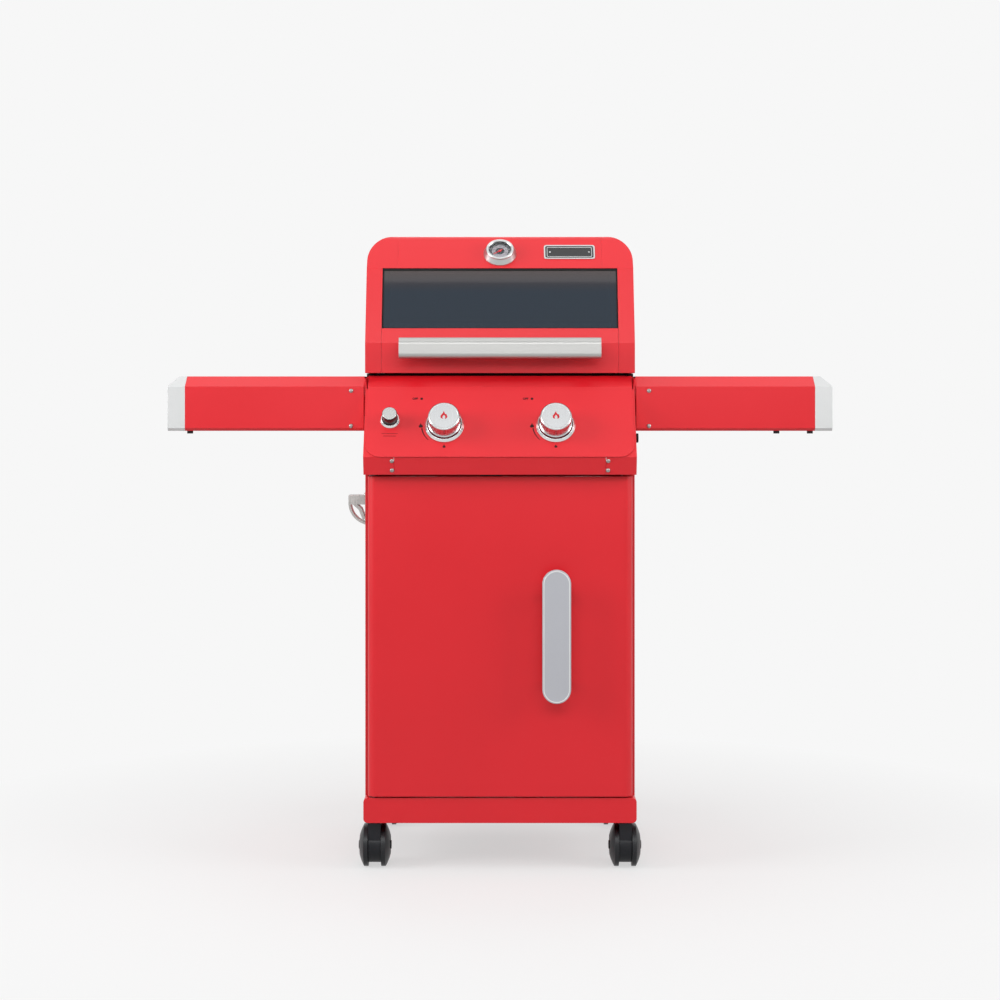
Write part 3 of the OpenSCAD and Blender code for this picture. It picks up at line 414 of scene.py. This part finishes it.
finishes = {
    "bezels": chrome,
    "igniter_button": spark_cap,
    "igniter_module": bracket_plastic,
    "manifold": zinc,
    "valves": valve_brass,
    "valve_stem_left": zinc,
    "valve_stem_right": zinc,
    "burners": burner_steel,
    "flame_tamers": burner_steel,
    "grates": grate_iron,
    "firebox": box_enamel,
    "warming_rack": rack_chrome,
    "tray_rails": zinc,
    "grease_tray": zinc,
    "lid_hinges": zinc,
    # These three parts carry the painted shade of the door's gaps.
    "door_hinges": hinge_shade_coat,
    "door_magnet": hinge_shade_coat,
    "door_strike": hinge_shade_coat,
    "door_handle_posts": zinc,
    "caster_sockets": zinc,
    "shelf_brackets": zinc,
    "glass_retainers": zinc,
    "bottle_opener": opener_steel,
    "shelf_caps": cap_lacquer,
    "screws": screw_steel,
    "rubber_plugs": plug_rubber,
    "door_handle": grip_lacquer,
    "lid_glass": window_glass,
    "lid_handle": handle_metal,
    "lid_handle_brackets": bracket_plastic,
    "gauge_case": satin_metal,
    "gauge_dial": dial_paper,
    "gauge_lens": dial_glass,
    "gauge_needle": flame_red,
    "knob_left": cap_metal,
    "knob_right": cap_metal,
}
for node, shown in frame["nodes"].items():
    finish = finishes.get(node, red_coat)
    if node.startswith("caster_") and node != "caster_sockets":
        finish = caster_plastic
    if node.startswith("wheels_"):
        finish = wheel_plastic
    shown.data.materials.clear()
    shown.data.materials.append(finish)


# ---------- making pieces ----------

weld, fine_weld = 1e-6, 1e-7
print_depth = 0.1 * mm


def add_object(name, mesh, finish):
    """A finished piece whose object sits at the origin."""
    mesh.materials.clear()
    mesh.materials.append(finish)
    piece = bpy.data.objects.new(name, mesh)
    scene.collection.objects.link(piece)
    return piece


def mesh_from(name, build):
    """Mesh of what a function draws into an empty bmesh."""
    shape = bmesh.new()
    build(shape)
    bmesh.ops.remove_doubles(shape, verts=shape.verts, dist=weld)
    bmesh.ops.recalc_face_normals(shape, faces=shape.faces)
    mesh = bpy.data.meshes.new(name)
    shape.to_mesh(mesh)
    shape.free()
    return mesh


def turned(profile, steps):
    """Draws what points (radius, height), in millimetres, sweep when they turn about Z."""

    def build(shape):
        rings = []
        for radius, height in profile:
            radius, height = radius * mm, height * mm
            if radius == 0:
                rings.append([shape.verts.new((0, 0, height))] * steps)
                continue
            ring = []
            for step in range(steps):
                angle = 2 * math.pi * step / steps
                x, y = radius * math.cos(angle), radius * math.sin(angle)
                ring.append(shape.verts.new((x, y, height)))
            rings.append(ring)
        for low, high in zip(rings, rings[1:]):
            for step in range(steps):
                other = (step + 1) % steps
                corners = dict.fromkeys((low[step], low[other], high[other], high[step]))
                if len(corners) > 2:
                    shape.faces.new(corners)

    return build


def plate(outline, thickness, holes=()):
    """Mesh of a flat outline with holes, thickened upwards from Z = 0."""
    curve = bpy.data.curves.new("outline", "CURVE")
    curve.dimensions = "2D"
    curve.fill_mode = "BOTH"
    for loop in (outline, *holes):
        spline = curve.splines.new("POLY")
        spline.points.add(len(loop) - 1)
        for point, (x, y) in zip(spline.points, loop):
            point.co = (x, y, 0, 1)
        spline.use_cyclic_u = True
    curve.extrude = thickness / 2
    mesh = flat_mesh(curve)
    mesh.transform(Matrix.Translation((0, 0, thickness / 2)))
    return mesh


def evaluated_mesh(source):
    """Plain mesh of what an object's curve or modifiers make."""
    bpy.context.view_layer.update()
    state = bpy.context.evaluated_depsgraph_get()
    return bpy.data.meshes.new_from_object(source.evaluated_get(state))


def flat_mesh(curve):
    """Mesh of a curve or text, with its doubles merged."""
    source = bpy.data.objects.new("source", curve)
    scene.collection.objects.link(source)
    mesh = evaluated_mesh(source)
    bpy.data.objects.remove(source)
    bpy.data.curves.remove(curve)
    shape = bmesh.new()
    shape.from_mesh(mesh)
    bmesh.ops.remove_doubles(shape, verts=shape.verts, dist=fine_weld)
    bmesh.ops.recalc_face_normals(shape, faces=shape.faces)
    shape.to_mesh(mesh)
    shape.free()
    return mesh


def lettering(words, height, weight=0.0):
    """Mesh of one printed line of plain letters or numerals, centred on the origin."""
    capitals = 0.7
    text = bpy.data.curves.new("words", "FONT")
    text.body = words
    text.size = height / capitals
    text.align_x = "CENTER"
    text.align_y = "CENTER"
    text.extrude = print_depth / 2
    text.offset = weight
    text.resolution_u = 3
    return flat_mesh(text)


def joined(name, parts, finish):
    """One piece from several (mesh, matrix) parts."""
    shape = bmesh.new()
    for mesh, place in parts:
        copy = mesh.copy()
        copy.transform(place)
        shape.from_mesh(copy)
        bpy.data.meshes.remove(copy)
    mesh = bpy.data.meshes.new(name)
    shape.to_mesh(mesh)
    shape.free()
    return add_object(name, mesh, finish)


def facing(origin, out):
    """Matrix that puts a flat shape on a surface: X to the right, Y up it and Z out of it."""
    out = Vector(out).normalized()
    right = Vector((0, 0, 1)).cross(out).normalized()
    turn = Matrix((right, out.cross(right), out)).transposed().to_4x4()
    return Matrix.Translation(origin) @ turn


def on(surface, x, y, z=0.0, turn=0.0):
    """Place on a surface's matrix, shifted and then turned by degrees."""
    return surface @ Matrix.Translation((x, y, z)) @ Matrix.Rotation(math.radians(turn), 4, "Z")


def islands(node):
    """Points of each separate solid of a CAD node."""
    shape = bmesh.new()
    shape.from_mesh(frame["nodes"][node].data)
    bmesh.ops.remove_doubles(shape, verts=shape.verts, dist=weld)
    left, found = set(shape.verts), []
    while left:
        reached, waiting = set(), [next(iter(left))]
        while waiting:
            vertex = waiting.pop()
            if vertex not in reached:
                reached.add(vertex)
                waiting.extend(edge.other_vert(vertex) for edge in vertex.link_edges)
        left -= reached
        found.append([vertex.co.copy() for vertex in reached])
    shape.free()

    def low_corner(points):
        return tuple(round(min(point[i] for point in points), 4) for i in range(3))

    return sorted(found, key=low_corner)


def round_outline(width, height, radius, steps=6):
    """Rectangle with round corners, centred on the origin."""
    points = []
    for quarter, (right, up) in enumerate(((1, 1), (-1, 1), (-1, -1), (1, -1))):
        x, y = right * (width / 2 - radius), up * (height / 2 - radius)
        for step in range(steps + 1):
            angle = math.pi / 2 * (quarter + step / steps)
            points.append((x + radius * math.cos(angle), y + radius * math.sin(angle)))
    return points


# ---------- repeated pieces ----------


class Repeat(Wiring):
    """Geometry Nodes tree that sets one shape, of named sizes, at every place with its turn."""

    def __init__(self, name, **sizes):
        self.group = bpy.data.node_groups.new(name, "GeometryNodeTree")
        super().__init__(self.group)
        face = self.group.interface
        face.new_socket("Places", in_out="INPUT", socket_type="NodeSocketGeometry")
        face.new_socket("Finish", in_out="INPUT", socket_type="NodeSocketMaterial")
        for size, value in sizes.items():
            socket = face.new_socket(size, in_out="INPUT", socket_type="NodeSocketFloat")
            socket.default_value = value
        face.new_socket("Result", in_out="OUTPUT", socket_type="NodeSocketGeometry")
        self.given = self.nodes.new("NodeGroupInput").outputs

    def node(self, kind, settings=None, **sockets):
        """New node with its settings and its named inputs; gives its first output."""
        node = self.nodes.new(kind)
        for name, value in (settings or {}).items():
            setattr(node, name, value)
        for name, value in sockets.items():
            self.put(node.inputs[name], value)
        return node.outputs[0]

    def math(self, operation, first, second):
        """Result of one sum with two values."""
        output = self.node("ShaderNodeMath", {"operation": operation})
        for socket, value in zip(output.node.inputs, (first, second)):
            self.put(socket, value)
        return output

    def vector(self, **parts):
        """Vector from its X, Y and Z."""
        return self.node("ShaderNodeCombineXYZ", **parts)

    def box(self, x, y, z, **place):
        """Box of the given size, moved by X, Y and Z."""
        cube = self.node("GeometryNodeMeshCube", Size=self.vector(X=x, Y=y, Z=z))
        return self.node("GeometryNodeTransform", Geometry=cube, Translation=self.vector(**place))

    def finish(self, shape):
        """Sets the shape at the places and gives it its finish."""
        vector = {"data_type": "FLOAT_VECTOR"}
        turn = self.node("GeometryNodeInputNamedAttribute", vector, Name="turn")
        spread = self.node(
            "GeometryNodeInstanceOnPoints", Points=self.given["Places"], Instance=shape, Rotation=turn)
        real = self.node("GeometryNodeRealizeInstances", Geometry=spread)
        coated = self.node("GeometryNodeSetMaterial", Geometry=real, Material=self.given["Finish"])
        ending = self.nodes.new("NodeGroupOutput")
        self.put(ending.inputs["Result"], coated)
        return self.group


def repeated(name, tree, places, finish, **sizes):
    """Piece that a tree makes at the given matrices, with some of its named sizes set."""
    mesh = bpy.data.meshes.new(name)
    mesh.from_pydata([place.translation for place in places], [], [])
    turns = mesh.attributes.new("turn", "FLOAT_VECTOR", "POINT")
    for datum, place in zip(turns.data, places):
        datum.vector = place.to_euler()
    holder = bpy.data.objects.new(name + "_places", mesh)
    scene.collection.objects.link(holder)
    modifier = holder.modifiers.new(name, "NODES")
    modifier.node_group = tree
    for socket in tree.interface.items_tree:
        if socket.name == "Finish":
            modifier[socket.identifier] = finish
        elif socket.name in sizes:
            modifier[socket.identifier] = sizes[socket.name]
    made = evaluated_mesh(holder)
    bpy.data.objects.remove(holder)
    return add_object(name, made, finish)


def screw_tree():
    """Domed head with a cross recess."""
    tree = Repeat("screw_heads", Radius=4 * mm, Height=2.2 * mm, Recess=1.1 * mm)
    radius, height, recess = (tree.given[size] for size in ("Radius", "Height", "Recess"))
    ball = tree.node("GeometryNodeMeshUVSphere", Segments=32, Rings=16, Radius=radius)
    flat = tree.vector(X=1.0, Y=1.0, Z=tree.math("DIVIDE", height, radius))
    dome = tree.node("GeometryNodeTransform", Geometry=ball, Scale=flat)
    wide = tree.math("MULTIPLY", radius, 4.0)
    below = tree.box(wide, wide, wide, Z=tree.math("MULTIPLY", radius, -2.0))
    arm = tree.math("MULTIPLY", radius, 1.1)
    cross = [tree.box(arm, recess, height, Z=height), tree.box(recess, arm, height, Z=height)]
    cut = tree.node("GeometryNodeMeshBoolean", {"operation": "DIFFERENCE", "solver": "EXACT"})
    tree.put(cut.node.inputs["Mesh 1"], dome)
    for tool in (below, *cross):
        tree.put(cut.node.inputs["Mesh 2"], tool)
    return tree.finish(cut)


def bar_tree():
    """Flat bar that lies on its place and points along its Y."""
    tree = Repeat("bars", Length=4 * mm, Width=1 * mm, Thickness=0.2 * mm)
    length, width, thickness = (tree.given[size] for size in ("Length", "Width", "Thickness"))
    return tree.finish(tree.box(width, length, thickness, Z=tree.math("MULTIPLY", thickness, 0.5)))


screw_heads = screw_tree()
flat_bars = bar_tree()


def settle(piece, body, slot, *nodes):
    """Gives a piece its body and hides the CAD nodes that it stands for; its slot is not used."""
    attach(piece, body)
    if nodes:
        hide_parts(*nodes)


# ---------- places on the grill ----------

skin = 0.05 * mm


def node_points(node):
    """Corners of a CAD node's mesh."""
    return [vertex.co.copy() for vertex in frame["nodes"][node].data.vertices]


def reach(points, direction):
    """How far the points go in a direction."""
    return max(direction.dot(point) for point in points)


def face_towards(node, direction):
    """Direction of the largest flat face of a node that looks roughly in the one given."""
    areas = {}
    roughly = 0.9
    for face in frame["nodes"][node].data.polygons:
        if face.normal.dot(direction) > roughly:
            key = tuple(round(part, 3) for part in face.normal)
            areas[key] = areas.get(key, 0) + face.area
    return Vector(max(areas, key=areas.get)).normalized()


def end_of(points, out):
    """Place in the middle of the round end that the points have in a direction."""
    top = reach(points, out)
    turned_back = facing((0, 0, 0), out)
    rim = [turned_back.inverted() @ point for point in points if out.dot(point) > top - skin]
    middle = [(min(p[i] for p in rim) + max(p[i] for p in rim)) / 2 for i in (0, 1)]
    return turned_back @ Matrix.Translation((*middle, top))


front = Vector((0, -1, 0))
panel_out = Vector(joints["knob_turn_left"]["axis"]).normalized()
band_out = face_towards("front_rail", front)
needle = joints["needle_turn"]
brow_out = Vector(needle["axis"]) * (1 if needle["axis"][2] > 0 else -1)
dial = end_of(node_points("gauge_dial"), brow_out)
brow_level = reach(node_points("lid_roof"), brow_out)
brow = dial @ Matrix.Translation((0, 0, brow_level - brow_out.dot(dial.translation)))


# ---------- fasteners ----------

sheet_screw = 4.2 * mm


def make_front_screws():
    """Cross-recessed heads where the shelves and the panel are screwed."""
    height = 2.2 * mm
    places = []
    for index, points in enumerate(islands("screws")):
        out = min((front, band_out), key=lambda way: reach(points, way) + reach(points, -way))
        turn = 35 + 50 * index
        places.append(on(end_of(points, out), 0, 0, -height, turn))
    heads = repeated("front_screws", screw_heads, places, screw_steel, Height=height)
    settle(heads, "cart", "polished", "screws")


def make_side_screws():
    """Heads along the side panels, over the flanges of the deck and the back."""
    pitch, above_deck, from_back = 130 * mm, 8 * mm, 9 * mm
    places = []
    for side, node in ((-1, "side_panel_left"), (1, "side_panel_right")):
        low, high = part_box(node)
        x = low.x if side < 0 else high.x
        middle = (low.y + high.y) / 2
        spots = [(y, low.z + above_deck) for y in (middle - pitch, middle, middle + pitch)]
        spots += [(high.y - from_back, low.z + rise * mm) for rise in (120, 320, 520)]
        for index, (y, z) in enumerate(spots):
            places.append(on(facing((x, y, z), (side, 0, 0)), 0, 0, turn=40 * index))
    heads = repeated("side_screws", screw_heads, places, zinc, Radius=sheet_screw)
    settle(heads, "cart", "zinc_steel")


def make_back_screws():
    """Heads down both edges of the back panel."""
    low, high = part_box("rear_panel")
    from_edge = 8 * mm
    places = []
    for side in (-1, 1):
        for share in (0.04, 0.27, 0.5, 0.73, 0.96):
            spot = (side * (high.x - from_edge), high.y, low.z + share * (high.z - low.z))
            places.append(on(facing(spot, -front), 0, 0, turn=90 * share))
    heads = repeated("back_screws", screw_heads, places, zinc, Radius=sheet_screw)
    settle(heads, "cart", "zinc_steel")


# ---------- lid: badge plate, window seal and thermometer ----------


def make_badge():
    """Bare plate: a bright rim and line on a dark field, held by two rivets."""
    width, height = 96 * mm, 36 * mm
    beside_dial, above_dial = 131 * mm, 4.5 * mm
    rivet_x = 37 * mm

    def inset(depth, radius):
        return round_outline(width - 2 * depth, height - 2 * depth, radius)

    spot = on(brow, beside_dial, above_dial)
    rim = plate(inset(0, 5 * mm), 1.6 * mm, [inset(2.5 * mm, 3.5 * mm)])
    line = plate(inset(5.5 * mm, 2.5 * mm), 1.2 * mm, [inset(6.5 * mm, 2 * mm)])
    field = plate(inset(2.2 * mm, 3.7 * mm), 0.8 * mm)
    rivet = mesh_from("rivet", turned([(0, 0), (1.8, 0), (1.7, 1.3), (1.1, 1.8), (0, 2.0)], 24))
    bright = [(rim, spot), (line, spot)]
    bright += [(rivet, on(spot, side * rivet_x, 0)) for side in (-1, 1)]
    settle(joined("badge_rim", bright, satin_metal), "lid", "polished")
    settle(joined("badge_field", [(field, spot)], badge_black), "lid", "black_enamel")


def make_grip_rim():
    """Bright cut edge round the front of the door's handle."""
    low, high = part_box("door_handle")
    bevel, band, proud = 2 * mm, 1.8 * mm, 0.3 * mm
    width, height = high.x - low.x - 2 * bevel, high.z - low.z - 2 * bevel
    hole = round_outline(width - 2 * band, height - 2 * band, width / 2 - band, 16)
    rim = plate(round_outline(width, height, width / 2, 16), proud, [hole])
    spot = end_of(node_points("door_handle"), front)
    settle(joined("grip_rim", [(rim, spot)], edge_metal), "door", "polished")


def make_window_seal():
    """Black rubber round the edge of the glass, widest along the top, where the extra width is painted
    shadow of the lid's lip.
    """
    place = facing((0, 0, 0), face_towards("lid_glass", front))
    flat = [place.inverted() @ point for point in node_points("lid_glass")]
    level = max(point.z for point in flat)
    face = [point for point in flat if point.z > level - skin]
    low = [min(point[i] for point in face) for i in (0, 1)]
    high = [max(point[i] for point in face) for i in (0, 1)]
    width, height = high[0] - low[0], high[1] - low[1]
    lip, top_shadow_extra, proud = 2.5 * mm, 1.5 * mm, 0.9 * mm
    inner = round_outline(width - 2 * lip, height - 2 * lip, 2 * mm)
    # The hole sits lower, so the top strip is wider: painted shadow under the lid's lip.
    hole = [(x, y - top_shadow_extra) for x, y in inner]
    seal = plate(round_outline(width, height, 1 * mm), proud, [hole])
    spot = place @ Matrix.Translation((0, (low[1] + high[1]) / 2, level))
    settle(joined("window_seal_and_shadow", [(seal, spot)], plug_rubber), "lid", "black_rubber")


def make_rim_seal():
    """Dark rubber strips on the rim of the firebox, clear of the closed lid: painted shade in the gap
    under the lid; their lip stands inside the lid.
    """
    lid_low = min(point.z for point in node_points("lid_end_left") if point.y < 0)
    low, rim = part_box("firebox")
    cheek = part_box("panel_ends")[1]
    width, rim_wall, top = 5 * mm, 8 * mm, lid_low - 1.2 * mm
    lip_length, lip_height = 430 * mm, 8 * mm
    end_length, end_middle = 300 * mm, 20 * mm
    corner_width, corner_length = 12 * mm, 17 * mm
    front_strip = plate(round_outline(2 * cheek.x - 25 * mm, width, 2 * mm), top - rim.z)
    lip = plate(round_outline(lip_length, 3 * mm, 1.4 * mm), lip_height)
    end_strip = plate(round_outline(width, end_length, 2 * mm), top - rim.z)
    corner = plate(round_outline(corner_width, corner_length, 2 * mm), top - cheek.z)
    along = low.y + rim_wall / 2
    parts = [
        (front_strip, Matrix.Translation((0, along, rim.z))),
        (lip, Matrix.Translation((0, along, lid_low - 3 * mm))),
    ]
    for side in (-1, 1):
        end_x, corner_x = side * (rim.x - 3 * mm), side * (cheek.x - corner_width / 2)
        parts.append((end_strip, Matrix.Translation((end_x, end_middle, rim.z))))
        parts.append((corner, Matrix.Translation((corner_x, cheek.y - 11 * mm, cheek.z))))
    # All these strips are painted shade in the gap between the lid and the firebox.
    settle(joined("rim_gap_shade", parts, plug_rubber), "cart", "black_rubber")


def make_shelf_seams():
    """Painted strip that closes the narrow gap between each shelf and the cart."""
    low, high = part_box("shelf_left")
    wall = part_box("side_panel_left")[0].x
    clear, end_gap, top_gap, tall = 0.2 * mm, 7 * mm, 4 * mm, 70 * mm
    outline = round_outline(wall - high.x - 2 * clear, high.y - low.y - 2 * end_gap, 0.3 * mm, 2)
    strip = plate(outline, tall)
    parts = []
    for side in (-1, 1):
        middle = (side * (high.x + wall) / -2, (low.y + high.y) / 2, high.z - top_gap - tall)
        parts.append((strip, Matrix.Translation(middle)))
    settle(joined("shelf_seams", parts, red_coat), "cart", "red_paint")


def arc(outer, inner, start, end, steps=64):
    """Outline of a part of a ring, with its angles clockwise from the top."""
    angles = [math.radians(90 - start - (end - start) * step / steps) for step in range(steps + 1)]
    outline = [(outer * math.cos(angle), outer * math.sin(angle)) for angle in angles]
    outline += [(inner * math.cos(angle), inner * math.sin(angle)) for angle in reversed(angles)]
    return outline


def around(angle, radius):
    """Point at a radius, with its angle in degrees clockwise from the top."""
    turn = math.radians(angle)
    return radius * math.sin(turn), radius * math.cos(turn)


def make_dial():
    """Scale of the thermometer: a dark band with ticks, plain numerals and a dark middle."""
    sweep, margin = 125, 12
    first, span = margin - sweep, 2 * (sweep - margin)
    outer, inner, tick_circle, numeral_circle = 20.2 * mm, 15.6 * mm, 18.2 * mm, 12.4 * mm
    band = plate(arc(outer, inner, -sweep, sweep), print_depth)
    middle = mesh_from("middle", turned([(0, 0), (8.5, 0), (8.5, 0.1), (0, 0.1)], 48))
    dark = [(band, dial), (middle, dial)]
    for step in range(7):
        x, y = around(first + span * step / 6, numeral_circle)
        dark.append((lettering(str(50 + 50 * step), 2.5 * mm), on(dial, x, y)))
    settle(joined("dial_scale", dark, dial_dark), "lid", "dial_face")
    places = []
    for step in range(25):
        angle = first + span * step / 24
        x, y = around(angle, tick_circle)
        places.append(on(dial, x, y, print_depth, -angle))
    short_ones = [place for step, place in enumerate(places) if step % 4]
    for name, chosen, length, width in (
        ("dial_marks", places[::4], 3.0 * mm, 0.7 * mm),
        ("dial_ticks", short_ones, 1.8 * mm, 0.35 * mm),
    ):
        sizes = {"Length": length, "Width": width, "Thickness": print_depth}
        settle(repeated(name, flat_bars, chosen, dial_light, **sizes), "lid", "dial_face")


# ---------- control panel: printed marks and caps ----------


def smooth(loop, steps):
    """Closed Catmull-Rom curve through the points of a loop."""
    count = len(loop)
    curve = []
    for index in range(count):
        a, b, c, d = (loop[(index + shift) % count] for shift in (-1, 0, 1, 2))
        for step in range(steps):
            t = step / steps
            point = []
            for i in (0, 1):
                bend = 2 * a[i] - 5 * b[i] + 4 * c[i] - d[i]
                twist = 3 * (b[i] - c[i]) + d[i] - a[i]
                point.append(b[i] + 0.5 * t * (c[i] - a[i] + t * (bend + t * twist)))
            curve.append(point)
    return curve


flame_left = [
    (-0.09, -0.5), (-0.28, -0.46), (-0.41, -0.28), (-0.39, -0.06), (-0.25, 0.14), (-0.12, 0.32),
    (-0.02, 0.56),
]
flame_right = [
    (0.06, 0.36), (0.14, 0.2), (0.21, 0.1), (0.3, 0.14), (0.38, -0.06), (0.41, -0.28), (0.28, -0.46),
    (0.09, -0.5),
]
flame_heart = [
    (0.17, -0.36), (0.15, -0.2), (0.04, -0.02), (-0.04, -0.02), (-0.15, -0.2), (-0.17, -0.36),
]


def flame_mark(height, solid=False):
    """Printed flame, with a light heart that is open at the foot unless it is solid."""
    steps = 4
    outline = smooth(flame_left + flame_right + flame_heart, steps)
    if solid:
        outline = outline[: -steps * len(flame_heart)]
    return plate([(height * x, height * y) for x, y in outline], print_depth)


def make_knob_caps():
    """Turned rim and red flame on each knob's cap."""
    ring = mesh_from("ring", turned([(24.6, -0.1), (25.2, 0.25), (26.4, 0.25), (27.0, -0.1)], 96))
    flame, raised = flame_mark(15 * mm), 1.5 * mm
    for side in ("left", "right"):
        cap = end_of(node_points("knob_" + side), panel_out)
        mark = joined(f"cap_flame_{side}", [(flame, on(cap, 0, raised))], flame_red)
        settle(mark, "knob_" + side, "needle_red")
        rim = joined(f"cap_rim_{side}", [(ring, cap)], satin_metal)
        settle(rim, "knob_" + side, "polished")


def taper(radius, start, end, wide, narrow, steps=24):
    """Outline of an arc that narrows towards its end, with its angles clockwise from the top."""
    outline = []
    for side in (1, -1):
        for step in range(steps + 1):
            share = step / steps if side > 0 else 1 - step / steps
            angle = math.radians(90 - start - share * (end - start))
            far = radius + side * (wide + share * (narrow - wide)) / 2
            outline.append((far * math.cos(angle), far * math.sin(angle)))
    return outline


def make_panel_marks():
    """OFF, a dot, an arc and two flames round each knob, and two thin lines below the igniter."""
    off_x, dot_x, off_y = -54.5 * mm, -42.6 * mm, 56.3 * mm
    flames_out = -43 * mm
    words = lettering("OFF", 4.0 * mm, 0.3 * mm)
    dot = plate(round_outline(4.4 * mm, 4.4 * mm, 0.8 * mm), print_depth)
    high_flame = flame_mark(9 * mm, solid=True)
    low_flame = flame_mark(6.5 * mm, solid=True)
    sweep = plate(taper(41.6 * mm, 262, 224, 2.4 * mm, 0.9 * mm), print_depth)
    parts = []
    for side in ("left", "right"):
        knob = facing(joints["knob_turn_" + side]["pos_m"], panel_out)
        parts += [
            (words, on(knob, off_x, off_y)),
            (dot, on(knob, dot_x, off_y)),
            (high_flame, on(knob, flames_out, 0)),
            (low_flame, on(knob, 0, flames_out)),
            (sweep, knob),
        ]
    settle(joined("panel_marks", parts, panel_ink), "cart", "black_plastic")
    button = end_of(node_points("igniter_button"), panel_out)
    sunk = panel_out.dot(Vector(joints["knob_turn_left"]["pos_m"]) - button.translation)
    lines = []
    for width, below in ((29 * mm, 28 * mm), (23 * mm, 33 * mm)):
        line = plate(round_outline(width, 1.0 * mm, 0.3 * mm), print_depth)
        lines.append((line, on(button, 0, -below, sunk)))
    settle(joined("igniter_marks", lines, faint_ink), "cart", "black_plastic")


make_front_screws()
make_side_screws()
make_back_screws()
make_badge()
make_grip_rim()
make_window_seal()
make_rim_seal()
make_shelf_seams()
make_dial()
make_knob_caps()
make_panel_marks()


# ---------- stage, lights and camera ----------

door_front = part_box("door_skin")[0].y
camera_height = 0.862
camera_distance = 3.6
seen_width = 1.827
view_shift = -0.099
pale = 0.93


def make_camera():
    """A level camera in front of the grill, with the view shifted down to it."""
    data = bpy.data.cameras.new("camera")
    data.lens = data.sensor_width * camera_distance / seen_width
    data.shift_y = view_shift
    camera = bpy.data.objects.new("camera", data)
    camera.location = (0, door_front - camera_distance, camera_height)
    camera.rotation_euler = (math.pi / 2, 0, 0)
    scene.collection.objects.link(camera)
    scene.camera = camera


def make_softbox(name, place, aim, size, power):
    """Wide soft lamp at a place, turned to what it is aimed at."""
    data = bpy.data.lights.new(name, "AREA")
    data.shape = "RECTANGLE"
    data.size, data.size_y = size
    data.energy = power
    lamp = bpy.data.objects.new(name, data)
    lamp.location = place
    lamp.rotation_euler = (Vector(aim) - Vector(place)).to_track_quat("-Z", "Y").to_euler()
    scene.collection.objects.link(lamp)


def make_world():
    """Pale room for the camera and glass, dimmer overhead for metal, and a faint soft light."""
    scene.world = bpy.data.worlds.new("room")
    room = Shading(scene.world)
    ray = room.node("LightPath").outputs
    up = room.node("SeparateXYZ", room.node("TexCoord").outputs["Generated"]).outputs["Z"]
    level = room.grade(up, 0.0, 1.0, 0.10, 0.30)
    level = room.grade(ray["Is Glossy Ray"], 0.0, 1.0, level, room.grade(up, 0.2, 0.9, pale, 0.62))
    plain = room.math("MAXIMUM", ray["Is Camera Ray"], ray["Is Transmission Ray"])
    background = room.nodes["Background"]
    background.inputs["Color"].default_value = (1, 1, 1, 1)
    room.put(background.inputs["Strength"], room.grade(plain, 0.0, 1.0, level, pale))


def make_floor():
    """Pale floor that keeps the shadow near the grill and fades into the room."""
    mesh = bpy.data.meshes.new("floor")
    half = 40.0
    corners = [(-half, -half, 0), (half, -half, 0), (half, half, 0), (-half, half, 0)]
    mesh.from_pydata(corners, [], [(0, 1, 2, 3)])
    floor = bpy.data.objects.new("floor", mesh)
    scene.collection.objects.link(floor)
    paper = Finish("floor_paper", roughness=0.9, specular_ior_level=0.1)
    ray = paper.node("LightPath").outputs
    mirrored = paper.math("MULTIPLY", ray["Is Glossy Ray"], 0.7)
    seen = paper.math("MAXIMUM", ray["Is Camera Ray"], ray["Is Transmission Ray"])
    seen = paper.math("MAXIMUM", seen, mirrored)
    paper.surface(base_color=paper.grade(seen, 0.0, 1.0, 0.45, 0.8))
    lit = paper.shader.outputs[0]
    distance = paper.node("VectorMath", paper.place, operation="LENGTH").outputs["Value"]
    glow = paper.node("Emission", (pale, pale, pale, 1)).outputs[0]
    fade = paper.grade(distance, 0.5, 1.3, 0.62, 1.0)
    faded = paper.node("MixShader", fade, lit, glow).outputs[0]
    shown = paper.node("MixShader", seen, lit, faded).outputs[0]
    paper.put(paper.nodes["Material Output"].inputs["Surface"], shown)
    mesh.materials.append(paper.material)


make_camera()
make_world()
make_floor()
make_softbox("overhead", place=(0, 0.3, 3.2), aim=(0, 0.1, 0.8), size=(3.4, 1.8), power=18)
make_softbox("high_front", place=(0, -2.2, 3.38), aim=(0, 0, 1.45), size=(4.0, 0.9), power=11)
make_softbox("low_front", place=(0, -2.7, 2.0), aim=(0, 0, 0.95), size=(3.0, 1.0), power=35)
make_softbox("left_side", place=(-2.8, -1.2, 1.8), aim=(0, 0, 1.0), size=(1.6, 1.6), power=58)
make_softbox("right_side", place=(2.8, -1.2, 1.8), aim=(0, 0, 1.0), size=(1.6, 1.6), power=42)
make_softbox("behind", place=(0, 3.0, 2.6), aim=(0, 0, 0.7), size=(3.0, 1.4), power=30)
scene.view_settings.view_transform = "Standard"
